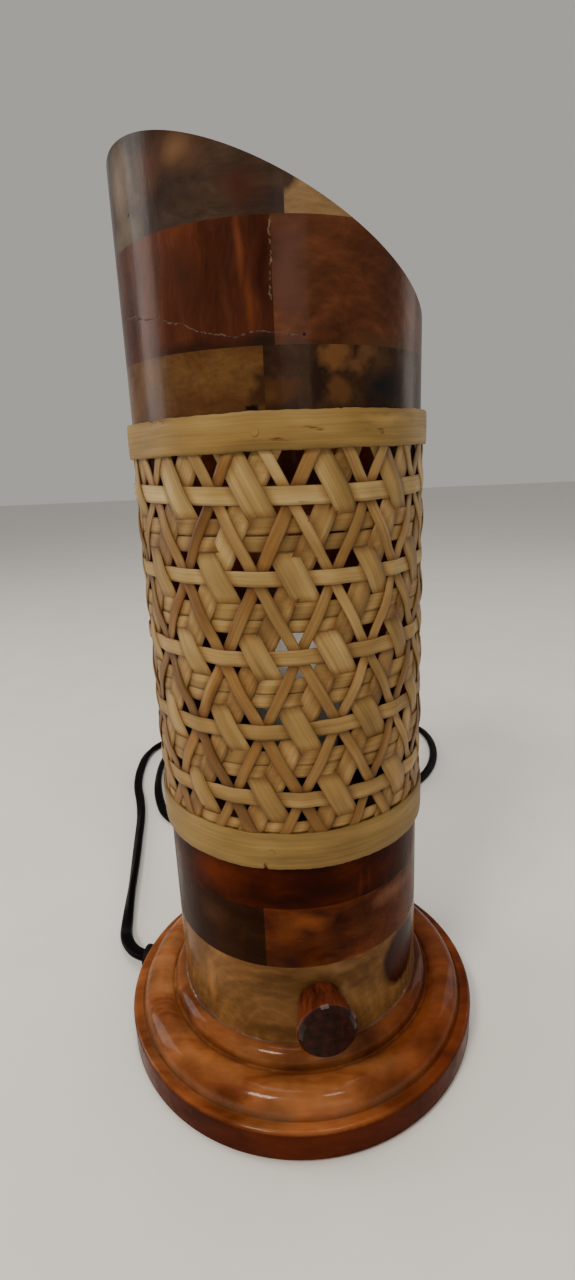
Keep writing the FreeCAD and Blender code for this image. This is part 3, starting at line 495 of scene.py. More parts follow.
def make_upper_woods():
    """The glued segments over the window, each with the marks that it shows."""
    wood(
        "upper_ring_3_dark", "top_ring_wood", ((39, 30, 25), (55, 42, 34), (73, 55, 43)),
        mark(-40, 316, 8, 9, (66, 40, 31)),
        mark(-26, 318, 10, 7, (80, 56, 41), 0.95, 4, 0.06),
        mark(-29, 317.5, 5, 4, (97, 71, 51), 0.95, 2.5, 0.08),
        mark(-27, 306.5, 11, 4, (49, 37, 31), 0.8),
        mark(-42, 305, 5, 3, (43, 31, 27), 0.8),
        mark(-6, 307, 9, 7, (59, 30, 23)),
        mark(3.5, 303, 4, 4.5, (45, 32, 31), 0.6, 3),
        # Painted highlight: these two soft grey marks stand in for the lacquer's sheen on the
        # left.
        mark(-58, 303, 13, 4.5, (81, 71, 57), 0.8, 4),
        mark(-58, 316, 9, 14, (108, 92, 80), 0.9, 5),
        mark(-46, 310, 2.6, 1.6, (45, 35, 28), 0.3, 1, share=0.5),
        mark(-46, 310, 2.0, 1.1, (65, 51, 40), 0.4, 1, share=0.8),
        mark(-52.8, 307, 0.55, 0.5, (8, 5, 4), 0.3, 0),
    )
    wood(
        "upper_ring_3_light", "wedge_wood", ((95, 69, 44), (117, 90, 59), (134, 108, 75)),
        mark(3.8, 310.0, 5.6, 7.0, (56, 40, 31), 0.4, 2.5, 0.2),
        cloud=0.25,
    )
    wood(
        "upper_ring_2_red", "streaked_red_wood", ((47, 21, 11), (64, 30, 17), (80, 40, 23)),
        mark(-2.2, 288, 3.4, 20, (42, 14, 6), 0.8, 2.5),
        mark(-9.5, 293, 1.5, 11, (92, 47, 25), 0.9, 1.2),
        mark(-7.0, 279, 1.4, 10, (87, 43, 22), 0.9, 1.2),
        mark(-27, 288, 7, 11, (53, 27, 17), 0.9, 5),
        mark(-24, 268.5, 26, 4, (41, 19, 11), 0.7, 3),
        mark(-3, 269.5, 7, 3, (34, 21, 14), 0.7, 3),
        grain=UPRIGHT_GRAIN, scale=0.13, streaks=0.3, cloud=0.3,
    )
    wood(
        "upper_ring_2_brown", "brown_arch_wood", ((63, 35, 21), (83, 46, 28), (100, 59, 37)),
        mark(6, 286, 6, 15, (76, 46, 37), 0.8, 4),
        mark(42, 269, 20, 4.2, (67, 44, 27), 0.8, 4),
        mark(6, 269, 6, 3.2, (62, 40, 32), 0.8, 3),
        mark(9.9, 271, 0.55, 0.5, (10, 6, 5), 0.3, 0),
        scale=0.07, cloud=0.35, arcs=(28.0, 264.0, 5.2, 0.2),
    )
    wood(
        "upper_ring_1_light", "light_brown_wood", ((66, 40, 19), (82, 54, 27), (94, 66, 36)),
        mark(-2.4, 257.0, 6.0, 6.6, (50, 29, 15), 0.5, 3.5, 0.2),
        mark(-0.3, 263, 2.6, 9, (48, 29, 17), 0.5, 1.5, 0.25),
        mark(-50, 253, 8, 3.5, (61, 36, 22), 0.9, 4, 0.2),
        mark(-22, 254, 14, 2.4, (68, 40, 22), 0.9, 3, 0.2),
        mark(-7.8, 252.6, 2.2, 1.5, (17, 7, 5), 0.4, 1.5, 0.4),
        cloud=0.3,
    )
    wood(
        "upper_ring_1_burl", "burl_wood", ((36, 22, 14), (50, 32, 20), (62, 43, 27)),
        mark(2, 264.5, 5, 3.5, (43, 22, 13), 0.7, 3, 0.2),
        mark(2, 257, 7.5, 4.6, (62, 37, 17), 0.5, 4, 0.2),
        mark(-1.5, 256, 2.6, 2.2, (70, 45, 22), 0.8, 2, 0.3),
        mark(13.6, 258.5, 2.4, 7, (34, 20, 13), 0.4, 2, 0.3),
        mark(20, 265.5, 6.2, 4.6, (92, 61, 34), 0.5, 3.5, 0.2),
        mark(27.5, 263.5, 5.6, 4.6, (82, 54, 33), 0.6, 3.5, 0.2),
        mark(32, 267.2, 4.8, 3.2, (82, 55, 34), 0.6, 3, 0.25),
        mark(21.3, 256.4, 4.8, 4.8, (76, 49, 28), 0.5, 2.5, 0.25),
        mark(40, 257.5, 9, 6, (21, 20, 21), 0.8, 3),
        mark(24, 260.4, 3.4, 0.8, (50, 32, 19), 0.7, 1, 0.3),
        grain=EVEN_GRAIN, scale=0.1, cloud=0.35,
    )


def make_lower_woods():
    """The glued rings under the window and the courses behind it."""
    wood(
        "lower_ring_3", "dark_red_wood", ((36, 9, 2), (54, 16, 3), (73, 27, 6)),
        mark(-36, 97, 17, 8, (81, 31, 8)),
        mark(8, 95, 15, 8, (32, 7, 2)),
        mark(27, 92, 1.2, 7, (71, 26, 8), 0.9, 1),
        mark(31, 93, 0.9, 6, (66, 22, 7), 0.9, 1),
        mark(55, 96, 12, 9, (45, 12, 3), 0.9, 4),
        scale=0.08, sheen=0.02, coat=0.02,
    )
    wood(
        "lower_ring_2_dark", "dark_brown_wood", ((32, 13, 4), (42, 20, 7), (54, 28, 11)),
        mark(-38, 79, 9, 6, (59, 34, 16)),
        cloud=0.35, sheen=0.02, coat=0.02,
    )
    wood(
        "lower_ring_2_amber", "amber_wood", ((60, 25, 13), (83, 39, 17), (103, 56, 28)),
        mark(2, 80, 12, 5, (106, 56, 26)),
        mark(46, 81, 11, 6, (106, 68, 49)),
        mark(4.5, 75.7, 2.6, 1.8, (55, 24, 13), 0.9, 2, 0.2),
        mark(14, 64.5, 9, 3, (53, 20, 13), 0.9, 4),
        mark(-4, 64, 9, 4, (45, 18, 13), 0.9, 4),
        sheen=0.02, coat=0.02,
    )
    wood(
        "lower_ring_1", "greyish_wood", ((82, 54, 28), (106, 73, 40), (127, 90, 52)),
        mark(54, 49, 14.5, 14, (42, 13, 5), 0.2, 2.0),
        mark(52, 46, 8, 8, (58, 22, 9), 0.9, 3),
        mark(-52, 55, 10, 8, (93, 59, 30)),
        mark(-44, 45, 3, 12, (138, 96, 54), 0.9, 4),
        mark(12, 59, 16, 3.5, (118, 86, 54), 0.9, 5),
        mark(18.6, 49.5, 1.8, 5.0, (119, 92, 60), 0.9, 2, 0.2, 0.7),
        mark(-10, 32, 26, 4, (80, 53, 30), 0.9, 5),
        scale=0.08, cloud=0.22, streaks=0.25, arcs=(-14.0, 30.0, 5.0, 0.2), sheen=0.03, coat=0.03,
    )
    red_tones = ((76, 30, 16), (108, 46, 24), (136, 66, 36))
    gains = ((0.8, 0.8, 0.9), (1.1, 0.9, 0.8), (1.3, 1.35, 1.3), (0.9, 1.1, 1.1))
    for number, gain in enumerate(gains, start=1):
        wood(f"back_wall_{number}", f"back_wall_wood_{number}", red_tones, coat=0.5, gain=gain)
    board_tones = ((60, 38, 20), (88, 58, 32), (110, 76, 44))
    wood("holder_platform", "board_wood", board_tones, scale=0.12)
    wood("base_cover", "cover_board", ((92, 66, 40), (112, 82, 52), (130, 98, 64)))


def make_knob_material():
    """Dark turned wood: redder on the knob's side, nearly black on its face."""
    half_length = 7.65
    low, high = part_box("dimmer_knob")
    middle = (Vector(low) + Vector(high)) / 2
    way = Vector((middle.x, middle.y, 0.0)).normalized()
    front = way.dot(middle) / MM + half_length
    paint = Paint("knob_wood", lacquer(0.02, 0.0))
    spot = paint.place()
    grain = paint.stretch(paint.wander(spot, 0.1, 3.0), (1.0, 0.1, 1.0))
    bands = paint.noise(grain, 0.32, 4.0, 0.6)
    stops = (0.32, 0.5, 0.7)
    side = paint.ramp(bands, *zip(stops, colours(((44, 16, 9), (84, 37, 21), (104, 52, 31)))))
    face = paint.ramp(bands, *zip(stops, colours(((20, 6, 3), (34, 11, 5), (52, 19, 10)))))
    reach = paint.vector("DOT_PRODUCT", spot, tuple(way), out=1)
    is_face = paint.ramp(paint.math("SUBTRACT", reach, front - 3.2), (0.3, 0.0), (1.0, 1.0))
    tone = paint.mix(is_face, side, face)
    is_flat = paint.ramp(paint.math("SUBTRACT", reach, front - 1.0), (0.4, 0.0), (0.9, 1.0))
    paint.put(paint.shader.inputs["Coat Weight"], paint.ramp(is_flat, (0.0, 0.4), (1.0, 0.05)))
    runs = paint.noise(spot, 0.25, 3.0)
    relief = paint.weigh(runs, 1.5, bands, 0.3)
    return paint.finish(tone, paint.ramp(runs, (0.3, 0.12), (0.7, 0.3)), relief, 0.25, 0.6)


def make_base_material():
    """Thick, slightly runny orange-tan lacquer, darker on the rim's side, painted shade to the
    right.
    """
    foot_groove, step_line, rim = 55.9, 69.6, 72.6  # radii of the base's features
    paint = Paint("base_lacquer", lacquer(0.02, 0.0))
    spot = paint.place()
    sideways, _, _ = paint.split(spot)
    _, height, reach = paint.split(paint.unrolled())
    grain = paint.stretch(paint.wander(spot, 0.03, 16.0), (0.12, 1.0, 1.0))
    bands = paint.noise(grain, 0.09, 4.0, 0.6)
    tones = colours(((103, 50, 23), (133, 76, 39), (152, 97, 56)))
    tone = paint.ramp(bands, *zip((0.3, 0.5, 0.72), tones))
    tone = paint.tint(tone, paint.ramp(paint.noise(spot, 0.05, 3.0), (0.35, 0.6), (0.62, 1.12)))
    # Broken lines where lacquer has gathered: (radius, width, how strong, colour).
    for radius, width, share, shade in (
        (step_line, 1.1, 0.5, colour(120, 92, 72)),
        (foot_groove, 1.0, 0.7, colour(70, 30, 14)),
    ):
        gap = paint.math("ABSOLUTE", paint.math("SUBTRACT", reach, radius))
        broken = paint.ramp(paint.noise(spot, 0.12, 3.0), (0.4, share * 0.3), (0.6, share))
        line = paint.ramp(paint.math("DIVIDE", gap, width), (0.25, 1.0), (1.0, 0.0))
        tone = paint.mix(paint.times(line, broken), tone, shade)
    # Darker at the tube's foot; painted shade under the outer moulding's bulge and on the rim.
    for value, stops in (
        (reach, ((0.545, (0.56, 0.5, 0.46)), (0.575, 1.0))),
        (reach, ((0.62, 1.0), (0.68, (0.72, 0.62, 0.56)), (0.70, (0.74, 0.62, 0.55)))),
        # Painted light on the left, painted shade towards the right.
        (sideways, ((0.05, (1.2, 1.35, 1.4)), (0.5, (0.68, 0.52, 0.42)))),
    ):
        tone = paint.tint(tone, paint.ramp(paint.math("DIVIDE", value, 100.0), *stops))
    side = paint.times(
        paint.ramp(paint.math("DIVIDE", height, 20.0), (0.0, 1.0), (0.66, 1.0), (0.72, 0.0)),
        paint.ramp(paint.math("SUBTRACT", reach, rim), (0.2, 0.0), (0.9, 1.0)),
    )
    dark = paint.ramp(bands, (0.3, colour(46, 14, 4)), (0.7, colour(82, 32, 13)))
    tone = paint.mix(side, tone, dark)
    paint.put(paint.shader.inputs["Coat Weight"], paint.ramp(side, (0.0, 0.2), (1.0, 0.01)))
    runs = paint.noise(spot, 0.12, 3.0, 0.5)
    relief = paint.weigh(runs, 2.2, paint.noise(spot, 0.6, 2.0, 0.5), 0.3)
    return paint.finish(tone, paint.ramp(runs, (0.3, 0.16), (0.7, 0.34)), relief, 0.3, 0.55)


PALE_BAMBOO = ((110, 85, 44), (144, 116, 67), (172, 146, 97))
BROWN_BAMBOO = ((76, 43, 10), (104, 64, 19), (132, 90, 36))
HOOP_BAMBOO = ((107, 82, 40), (130, 103, 53), (148, 123, 72))


def make_bamboo_material(name, pale, marks=()):
    """Split bamboo with marks on the hoops; the weave has none, and is painted lighter higher up.

    Points carry (along, across, strip number) in the vector 'strip' and (brown stain, nearness
    to the strip's edge, nearness to a strip over it) in the vector 'look'.
    """
    paint = Paint(name, {"Specular IOR Level": 0.2})
    strip = paint.add("ShaderNodeAttribute", out=1, attribute_name="strip")
    look = paint.add("ShaderNodeAttribute", out=1, attribute_name="look")
    stain, edge, above = paint.split(look)
    fibres = paint.noise(paint.stretch(strip, (0.022, 1.5, 31.7)), 1.0, 5.0, 0.65)
    slow = paint.noise(paint.stretch(strip, (0.03, 0.12, 17.3)), 1.0, 2.0)
    each = paint.noise(paint.stretch(strip, (0.0, 0.0, 7.91)), 1.0, 1.0)
    shade = paint.weigh(slow, 0.5, each, 0.5)
    stops = (0.36, 0.5, 0.64)
    tone = paint.ramp(shade, *zip(stops, colours(pale)))
    brown = paint.ramp(shade, *zip(stops, colours(BROWN_BAMBOO)))
    patchy = paint.noise(paint.stretch(strip, (0.06, 0.2, 5.3)), 1.0, 2.0)
    tone = paint.mix(paint.times(stain, paint.ramp(patchy, (0.35, 0.6), (0.6, 1.0))), tone, brown)
    tone = paint.tint(tone, paint.ramp(fibres, (0.28, 0.62), (0.6, 1.06)), 0.8)
    knots = paint.noise(paint.stretch(strip, (0.11, 0.3, 11.3)), 1.0, 2.0)
    tone = paint.mix(paint.ramp(knots, (0.74, 0.0), (0.80, 0.75)), tone, colour(72, 44, 20))
    # Darker near each strip's edges: partly wear and dirt, partly painted shade.
    tone = paint.tint(tone, paint.ramp(edge, (0.6, 1.0), (1.0, 0.76)))
    # Painted shade and grime: darker and browner beside each strip that crosses over this one.
    tone = paint.tint(tone, paint.ramp(above, (0.1, 1.0), (1.0, (0.56, 0.42, 0.28))))
    if marks:
        tone = add_marks(paint, paint.unrolled(), tone, marks)
    else:
        _, _, height = paint.split(paint.place())
        share = paint.math("DIVIDE", height, 300.0)
        # Painted light and shade: warmer and darker near the weave's foot, brighter higher up.
        painted_height_light = paint.ramp(share, (0.38, (0.93, 0.87, 0.8)), (0.8, (1.05, 1.09, 1.13)))
        tone = paint.tint(tone, painted_height_light)
    return paint.finish(tone, paint.ramp(fibres, (0.3, 0.62), (0.7, 0.42)), fibres, 0.12, 0.6)


def plain(name, shade, rough, metallic=0.0, grain=0.35, relief=0.03, spread=0.25, sheen=0.3):
    """Moulded, cast or spun material with a slight mottle and fine texture."""
    paint = Paint(name, {"Metallic": metallic, "Specular IOR Level": sheen})
    spot = paint.place()
    mottle = paint.noise(spot, grain, 4.0, 0.6)
    low = tuple(c * (1 - spread) for c in shade)
    high = tuple(min(c * (1 + spread), 1.0) for c in shade)
    tone = paint.ramp(mottle, (0.35, low), (0.65, high))
    dull = paint.ramp(mottle, (0.3, max(rough - 0.08, 0.03)), (0.7, min(rough + 0.1, 1.0)))
    return paint.finish(tone, dull, paint.noise(spot, grain * 6, 2.0), relief)


def make_small_materials():
    black = plain("black_moulding", colour(24, 22, 21), 0.45)
    white = plain("white_moulding", colour(222, 220, 214), 0.4, spread=0.05)
    steel = plain("zinc_steel", (0.55, 0.55, 0.53), 0.35, 1.0)
    brass = plain("brass_metal", (0.72, 0.52, 0.24), 0.3, 1.0)
    wire = plain("lead_insulation", colour(96, 50, 24), 0.4)
    cord = plain("cord_pvc", colour(4, 3, 2), 0.42, grain=0.12, relief=0.05, sheen=0.03)
    pins = plain("tarnished_pins", colour(126, 100, 54), 0.55, grain=0.2, spread=0.1, sheen=0.2)
    opal = plain("opal_glass", colour(216, 214, 210), 0.35, spread=0.03, relief=0.01)
    felt = plain("green_felt", colour(34, 52, 38), 0.95, grain=1.4, relief=0.25)
    for names, material in (
        (("lamp_holder", "dimmer_case", "cord_clamp", "plug_body", "plug_boot"), black),
        (("terminal_block", "bulb_collar"), white),
        (("cover_screws", "tube_screws", "holder_screws", "clamp_screws"), steel),
        (("dimmer_nut", "dimmer_shaft"), steel),
        (("dimmer_bush", "plug_pins", "holder_contact"), brass),
        (("hoop_tacks",), pins),
        (("cord_grommet",), plain("black_rubber", colour(9, 8, 7), 0.6, sheen=0.1)),
        (("holder_leads", "dimmer_leads"), wire),
        (("bulb_globe",), opal),
        (("felt_pad",), felt),
        (("mains_cord", "cord_inner"), cord),
        (("bulb_cap",), plain("bare_aluminium", (0.7, 0.7, 0.7), 0.35, 1.0)),
        (("dimmer_knob",), make_knob_material()),
        (("base_plinth",), make_base_material()),
    ):
        for name in names:
            dress(name, material)


# -------- woven bamboo

WEAVE_LOW = node_low("weave_sleeve")
WEAVE_HIGH = node_high("weave_sleeve")
COLUMNS = 13
ROWS = 5
ROW_PITCH = 24.75
FIRST_ROW = 130.0
FIRST_AZIMUTH = 3.5
WEAVE_RADIUS = 51.0
GIRTH = 2 * math.pi * WEAVE_RADIUS
COLUMN_PITCH = GIRTH / COLUMNS
LEAN = COLUMN_PITCH / 2 / ROW_PITCH  # sideways millimetres per millimetre of height
SLANTS = {"rising": LEAN, "falling": -LEAN}
SQUARE = 1 / math.hypot(1, LEAN)  # millimetres square to a slanted strip per one sideways
THICK = 0.36
LAYER = 0.42
FAMILIES = ("level", "rising", "falling")
# What each kind of strip lies over, wherever two cross.
OVER = {
    "falling wide": ("rising wide", "level narrow"),
    "level narrow": ("rising wide", "rising narrow", "falling narrow"),
    "rising narrow": ("level wide", "falling wide"),
    "level wide": ("falling wide",),
    "falling narrow": ("rising wide", "level wide", "rising narrow"),
    "rising wide": ("level wide",),
}
# How brown each kind of strip is, least and most, from 0 to 1.
STAINS = {
    "level narrow": (0.0, 0.1),
    "level wide": (0.0, 0.35),
    "rising narrow": (0.4, 0.95),
    "falling narrow": (0.1, 0.85),
    "rising wide": (0.05, 0.6),
    "falling wide": (0.0, 0.25),
}


def wrap(distance):
    """Sideways distance round the sleeve, from minus to plus half its girth."""
    return (distance + GIRTH / 2) % GIRTH - GIRTH / 2


def plan_strips():
    """Every strip of the weave: family, kind, place, width, brown stain and small waves."""
    rng = np.random.default_rng(11)
    start = math.radians(FIRST_AZIMUTH) * WEAVE_RADIUS
    strips = []

    def plan(family, size, place, width):
        strip = {"family": family, "kind": f"{family} {size}", "waves": rng.uniform(-1, 1, 4)}
        strip["place"] = place + rng.normal(0, 0.35 if family == "level" else 0.7)
        strip["width"] = width * rng.uniform(0.88, 1.12)
        strip["stain"] = rng.uniform(*STAINS[strip["kind"]])
        strips.append(strip)

    split = 2.35  # each broad level row is two strips side by side
    for k in range(ROWS):
        plan("level", "narrow", FIRST_ROW + k * ROW_PITCH, 5.0)
    for k in range(-1, ROWS - 1):
        middle = FIRST_ROW + (k + 0.5) * ROW_PITCH
        plan("level", "wide", middle + split, 4.7)
        plan("level", "wide", middle - split, 4.3)
    for family in ("rising", "falling"):
        for k in range(COLUMNS):
            plan(family, "narrow", start + k * COLUMN_PITCH, 3.8)
            plan(family, "wide", start + (k + 0.5) * COLUMN_PITCH, 7.8)
    return strips


def wave(strip, along, long, short, short_size):
    """A strip's sideways waver: one long wave and a shorter, lower one."""
    first, second, third, fourth = strip["waves"]
    slow = first * np.sin(along / long + 3 * second) * 0.5
    return slow + third * np.sin(along / short + 3 * fourth) * short_size


def strip_centre(strip, along):
    """Where a strip's middle runs: height for a level strip, sideways place for the others."""
    if strip["family"] == "level":
        bow = 0.4 if strip["kind"] == "level wide" else 1.7
        return strip["place"] + bow * wave(strip, along, WEAVE_RADIUS / 2, WEAVE_RADIUS / 6, 0.4)
    slant = SLANTS[strip["family"]] * (along - FIRST_ROW)
    return strip["place"] + slant + wave(strip, along, 31, 13, 0.25)


def off_centre(strip, sideways, height):
    """Distance of points on the sleeve from a strip's middle line, square to it."""
    if strip["family"] == "level":
        return height - strip_centre(strip, sideways)
    return wrap(sideways - strip_centre(strip, height)) * SQUARE


def gaps(strip, strips, sideways, height, above):
    """Distance of points from each strip that crosses over this one, or under it."""
    for other in strips:
        upper, lower = (other, strip) if above else (strip, other)
        if lower["kind"] in OVER[upper["kind"]]:
            yield np.abs(off_centre(other, sideways, height)) - other["width"] / 2


def layers_below(strip, strips, sideways, height):
    """How many strips lie under this one at each point."""
    below = gaps(strip, strips, sideways, height, above=False)
    return sum(1.0 - smooth((gap + 0.1) / 1.2) for gap in below)


def crossing_shade_and_grime(strip, strips, sideways, height):
    """1 where another strip crosses over this one, fading to 0 a few millimetres off."""
    most = np.zeros_like(sideways)
    for gap in gaps(strip, strips, sideways, height, above=True):
        most = np.maximum(most, 1.0 - smooth((gap + 0.4) / 3.4))
    return most


def soften(values, spread, closed):
    """Smooths values along a strip."""
    reach = int(3 * spread) + 1
    steps = np.arange(-reach, reach + 1)
    weights = np.exp(-0.5 * (steps / spread) ** 2)
    weights /= weights.sum()
    padded = np.pad(values, ((reach, reach), (0, 0)), mode="wrap" if closed else "edge")
    return sum(w * padded[i : i + len(values)] for i, w in enumerate(weights))


def strip_points(strip, strips):
    """Rings of points round a strip, their places along and across it, how close each is to a
    strip over it, and whether the strip closes on itself."""
    closed = strip["family"] == "level"
    step = 1.0
    if closed:
        count = int(GIRTH / step)
        along = np.arange(count) * GIRTH / count - GIRTH / 2
    else:
        along = np.arange(WEAVE_LOW + 0.5, WEAVE_HIGH - 0.5, step)
    centre = strip_centre(strip, along)
    across = np.array([-0.5, -0.3, 0.0, 0.3, 0.5]) * strip["width"]
    if closed:
        sideways = along[:, None] + 0 * across[None, :]
        height = centre[:, None] + across[None, :]
    else:
        sideways = centre[:, None] + across[None, :] * SQUARE
        height = along[:, None] - across[None, :] * SLANTS[strip["family"]] * SQUARE
    below = soften(layers_below(strip, strips, wrap(sideways), height), 1.6, closed)
    below = below * 0.55 + below.mean(axis=1)[:, None] * 0.45
    size, phase = strip["waves"][:2]
    spare = 0.15 * (1 + np.sin(along / 17 + 9 * phase))[:, None] * abs(size)
    # 0 where a hoop presses the strips flat, 1 a little away from it.
    hoop, fade = 6.0, 5.0
    free = smooth((height - WEAVE_LOW - hoop) / fade) * smooth((WEAVE_HIGH - hoop - height) / fade)
    lift = (below * LAYER + spare) * (0.3 + 0.7 * free)
    inner = TUBE_RADIUS + 0.1 + lift
    crown = np.array([0.0, 0.05, 0.08, 0.05, 0.0])
    turn = np.degrees(sideways / WEAVE_RADIUS)
    top = on_tube(turn, height, inner + THICK + crown)
    bottom = on_tube(turn, height, inner)
    ring = np.concatenate([top, bottom[:, ::-1]], axis=1)
    # Strength of the painted shade and grime next to strips that cross over this one.
    above = crossing_shade_and_grime(strip, strips, wrap(sideways), height)
    above = np.concatenate([above, above[:, ::-1]], axis=1)
    return ring, along, np.concatenate([across, across[::-1]]), above, closed


def add_bamboo_data(piece, along, across, number, stain, half_width, above=0.0):
    """Stores on each point what the bamboo material reads."""
    along, across, number, stain, half_width, above = np.broadcast_arrays(
        along, across, number, stain, half_width, above
    )
    set_vectors(piece, "strip", np.stack([along, across, number], axis=-1))
    edge = np.abs(across) / half_width
    set_vectors(piece, "look", np.stack([stain, edge, above], axis=-1))


def make_weave():
    """Real strips in three directions, laid over and under each other, one mesh a direction."""
    strips = plan_strips()
    material = make_bamboo_material("split_bamboo", PALE_BAMBOO)
    for family in FAMILIES:
        points, faces, data = [], [], []
        base = 0
        for number, strip in enumerate(strips):
            if strip["family"] != family:
                continue
            ring, along, across, above, closed = strip_points(strip, strips)
            rings, around = ring.shape[:2]
            faces += sweep_faces(rings, around, closed, base)
            points.append(ring.reshape(-1, 3))
            values = (along[:, None], across, number, strip["stain"], strip["width"] / 2, above)
            data.append(np.stack(np.broadcast_arrays(*values), axis=-1).reshape(-1, 6))
            base += rings * around
        piece = link_mesh(f"weave_strips_{family}", np.concatenate(points), faces)
        add_bamboo_data(piece, *np.concatenate(data).T)
        piece.data.materials.append(material)
        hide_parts("weave_sleeve")


def dips(turn, places):
    """How deep small nicks are round an edge; places are (azimuth, half width, depth)."""
    total = np.zeros_like(turn)
    for azimuth, half_width, depth in places:
        total += depth * np.clip(1 - np.abs(turn - azimuth) / half_width, 0, 1)
    return total


def make_hoop(node, name, tilt, seed, nicks_above=(), nicks_below=(), marks=()):
    """A flat bamboo strip bent round the tube, with slightly uneven split edges."""
    rng = np.random.default_rng(seed)
    low, high = node_low(node), node_high(node)
    thick, corner, bulge = 1.25, 0.45, 0.06
    outer = node_high(node, 0)
    inner = outer - thick
    middle, half = (low + high) / 2, (high - low) / 2
    turn = np.arange(-180.0, 180.0, 0.6)
    phases = rng.uniform(0, 6.28, 6)
    radians = np.radians(turn)

    def ripple(size, count, phase):
        return size * np.sin(count * radians + phases[phase])

    waver = ripple(0.18, 3, 0) + ripple(0.1, 11, 1)
    rough_top = ripple(0.07, 23, 2) + ripple(0.05, 61, 3) - dips(turn, nicks_above)
    rough_low = ripple(0.05, 29, 4) + ripple(0.05, 71, 5) + dips(turn, nicks_below)
    rise = middle + tilt * np.sin(radians) * outer + waver
    shoulder = 1.0 - corner / half * 0.5
    upper = [(outer - corner, 1.0), (outer - 0.1, shoulder), (outer, 0.8), (outer + bulge, 0.3)]
    lower = [(radius, -share) for radius, share in reversed(upper)]
    profile = upper + lower + [(inner, -1.0), (inner, 1.0)]
    columns = []
    for radius, share in profile:
        rough = rough_top if share > 0 else rough_low
        columns.append(on_tube(turn, rise + share * half + rough * abs(share), radius))
    ring = np.stack(columns, axis=1)
    around = len(profile)
    hoop = link_mesh(name, ring.reshape(-1, 3), sweep_faces(len(turn), around, True))
    along = np.repeat(radians * outer, around)
    across = np.tile([share * half for _, share in profile], len(turn))
    add_bamboo_data(hoop, along, across, float(seed), 0.0, half * 1.15)
    hoop.data.materials.append(make_bamboo_material(f"{name}_bamboo", HOOP_BAMBOO, marks))
    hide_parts(node)


# -------- glue and filler


def make_ridge(name, route, width, height, gap, seed):
    """A broken low ridge of glue or filler on the tube, through (azimuth, height) places."""
    rng = np.random.default_rng(seed)
    azimuths, heights = np.array(route, dtype=float).T
    steps = np.hypot(np.diff(np.radians(azimuths) * TUBE_RADIUS), np.diff(heights))
    gone = np.concatenate([[0.0], np.cumsum(steps)])
    points, faces = [], []
    start = 0.0
    while start < gone[-1] - 1.0:
        stop = min(start + rng.uniform(1.2, 6.0), gone[-1])
        spots = np.linspace(start, stop, max(int((stop - start) / 0.35), 4))
        around = np.radians(np.interp(spots, gone, azimuths)) * TUBE_RADIUS
        up = np.interp(spots, gone, heights)
        push = rng.normal(0, 0.14, len(spots)) + 0.25 * np.sin(spots / 1.7 + seed)
        ahead = np.stack([np.gradient(around), np.gradient(up)], axis=1)
        ahead /= np.linalg.norm(ahead, axis=1)[:, None]
        square = np.stack([-ahead[:, 1], ahead[:, 0]], axis=1)
        taper = np.sqrt(np.clip(np.sin(np.linspace(0.12, math.pi - 0.12, len(spots))), 0, 1))
        half = width / 2 * taper * rng.uniform(0.6, 1.5, len(spots))
        top = height * taper * rng.uniform(0.5, 1.2, len(spots))
        ring = []
        for side, share in ((-1.0, -0.5), (-0.6, 0.7), (0.0, 1.0), (0.6, 0.7), (1.0, -0.5)):
            flat = np.stack([around, up], axis=1) + square * (push + side * half)[:, None]
            turn = np.degrees(flat[:, 0] / TUBE_RADIUS)
            ring.append(on_tube(turn, flat[:, 1], TUBE_RADIUS + top * share))
        ring = np.stack(ring, axis=1)[:, ::-1]
        base = sum(len(p) for p in points)
        faces += sweep_faces(len(spots), ring.shape[1], base=base)
        points.append(ring.reshape(-1, 3))
        start = stop + rng.uniform(0.1, gap)
    ridge = link_mesh(name, np.concatenate(points), faces)
    return ridge


def make_foot_bead():
    """Uneven lacquer that has gathered where the tube stands on the base."""
    rng = np.random.default_rng(5)
    turn = np.arange(-180.0, 180.0, 0.75)
    radians = np.radians(turn)
    waves = (3, 7, 13, 29, 47)
    swell = sum(np.sin(n * radians + rng.uniform(0, 6.28)) * rng.uniform(0.3, 1.0) for n in waves)
    lumps = np.clip(rng.normal(0, 1, len(turn)), -1.5, 1.5)
    out = np.clip(0.65 + 0.16 * swell + 0.08 * lumps, 0.25, 1.4)
    up = np.clip(0.6 + 0.14 * swell + 0.08 * lumps, 0.2, 1.3)
    foot = node_high("base_plinth") - 0.9
    inside = TUBE_RADIUS - 0.1
    ring = np.stack(
        [
            on_tube(turn, foot + up, inside),
            on_tube(turn, foot + up, TUBE_RADIUS + 0.03),
            on_tube(turn, foot + up * 0.35, TUBE_RADIUS + out * 0.4),
            on_tube(turn, foot - out * 0.4, TUBE_RADIUS + out),
            on_tube(turn, foot - 0.8, inside),
        ],
        axis=1,
    )
    bead = link_mesh("foot_bead", ring.reshape(-1, 3), sweep_faces(len(turn), 5, True))
    return bead


def make_bead_material():
    """Brown lacquer, dull for most of its length and glassy in a few places."""
    paint = Paint("thick_lacquer", {"Specular IOR Level": 0.35})
    spot = paint.place()
    patches = paint.noise(spot, 0.09, 2.0)
    tone = paint.ramp(patches, (0.4, colour(62, 34, 19)), (0.6, colour(92, 58, 36)))
    rough = paint.ramp(patches, (0.54, 0.75), (0.62, 0.12))
    return paint.finish(tone, rough, paint.noise(spot, 1.5, 2.0), 0.1)


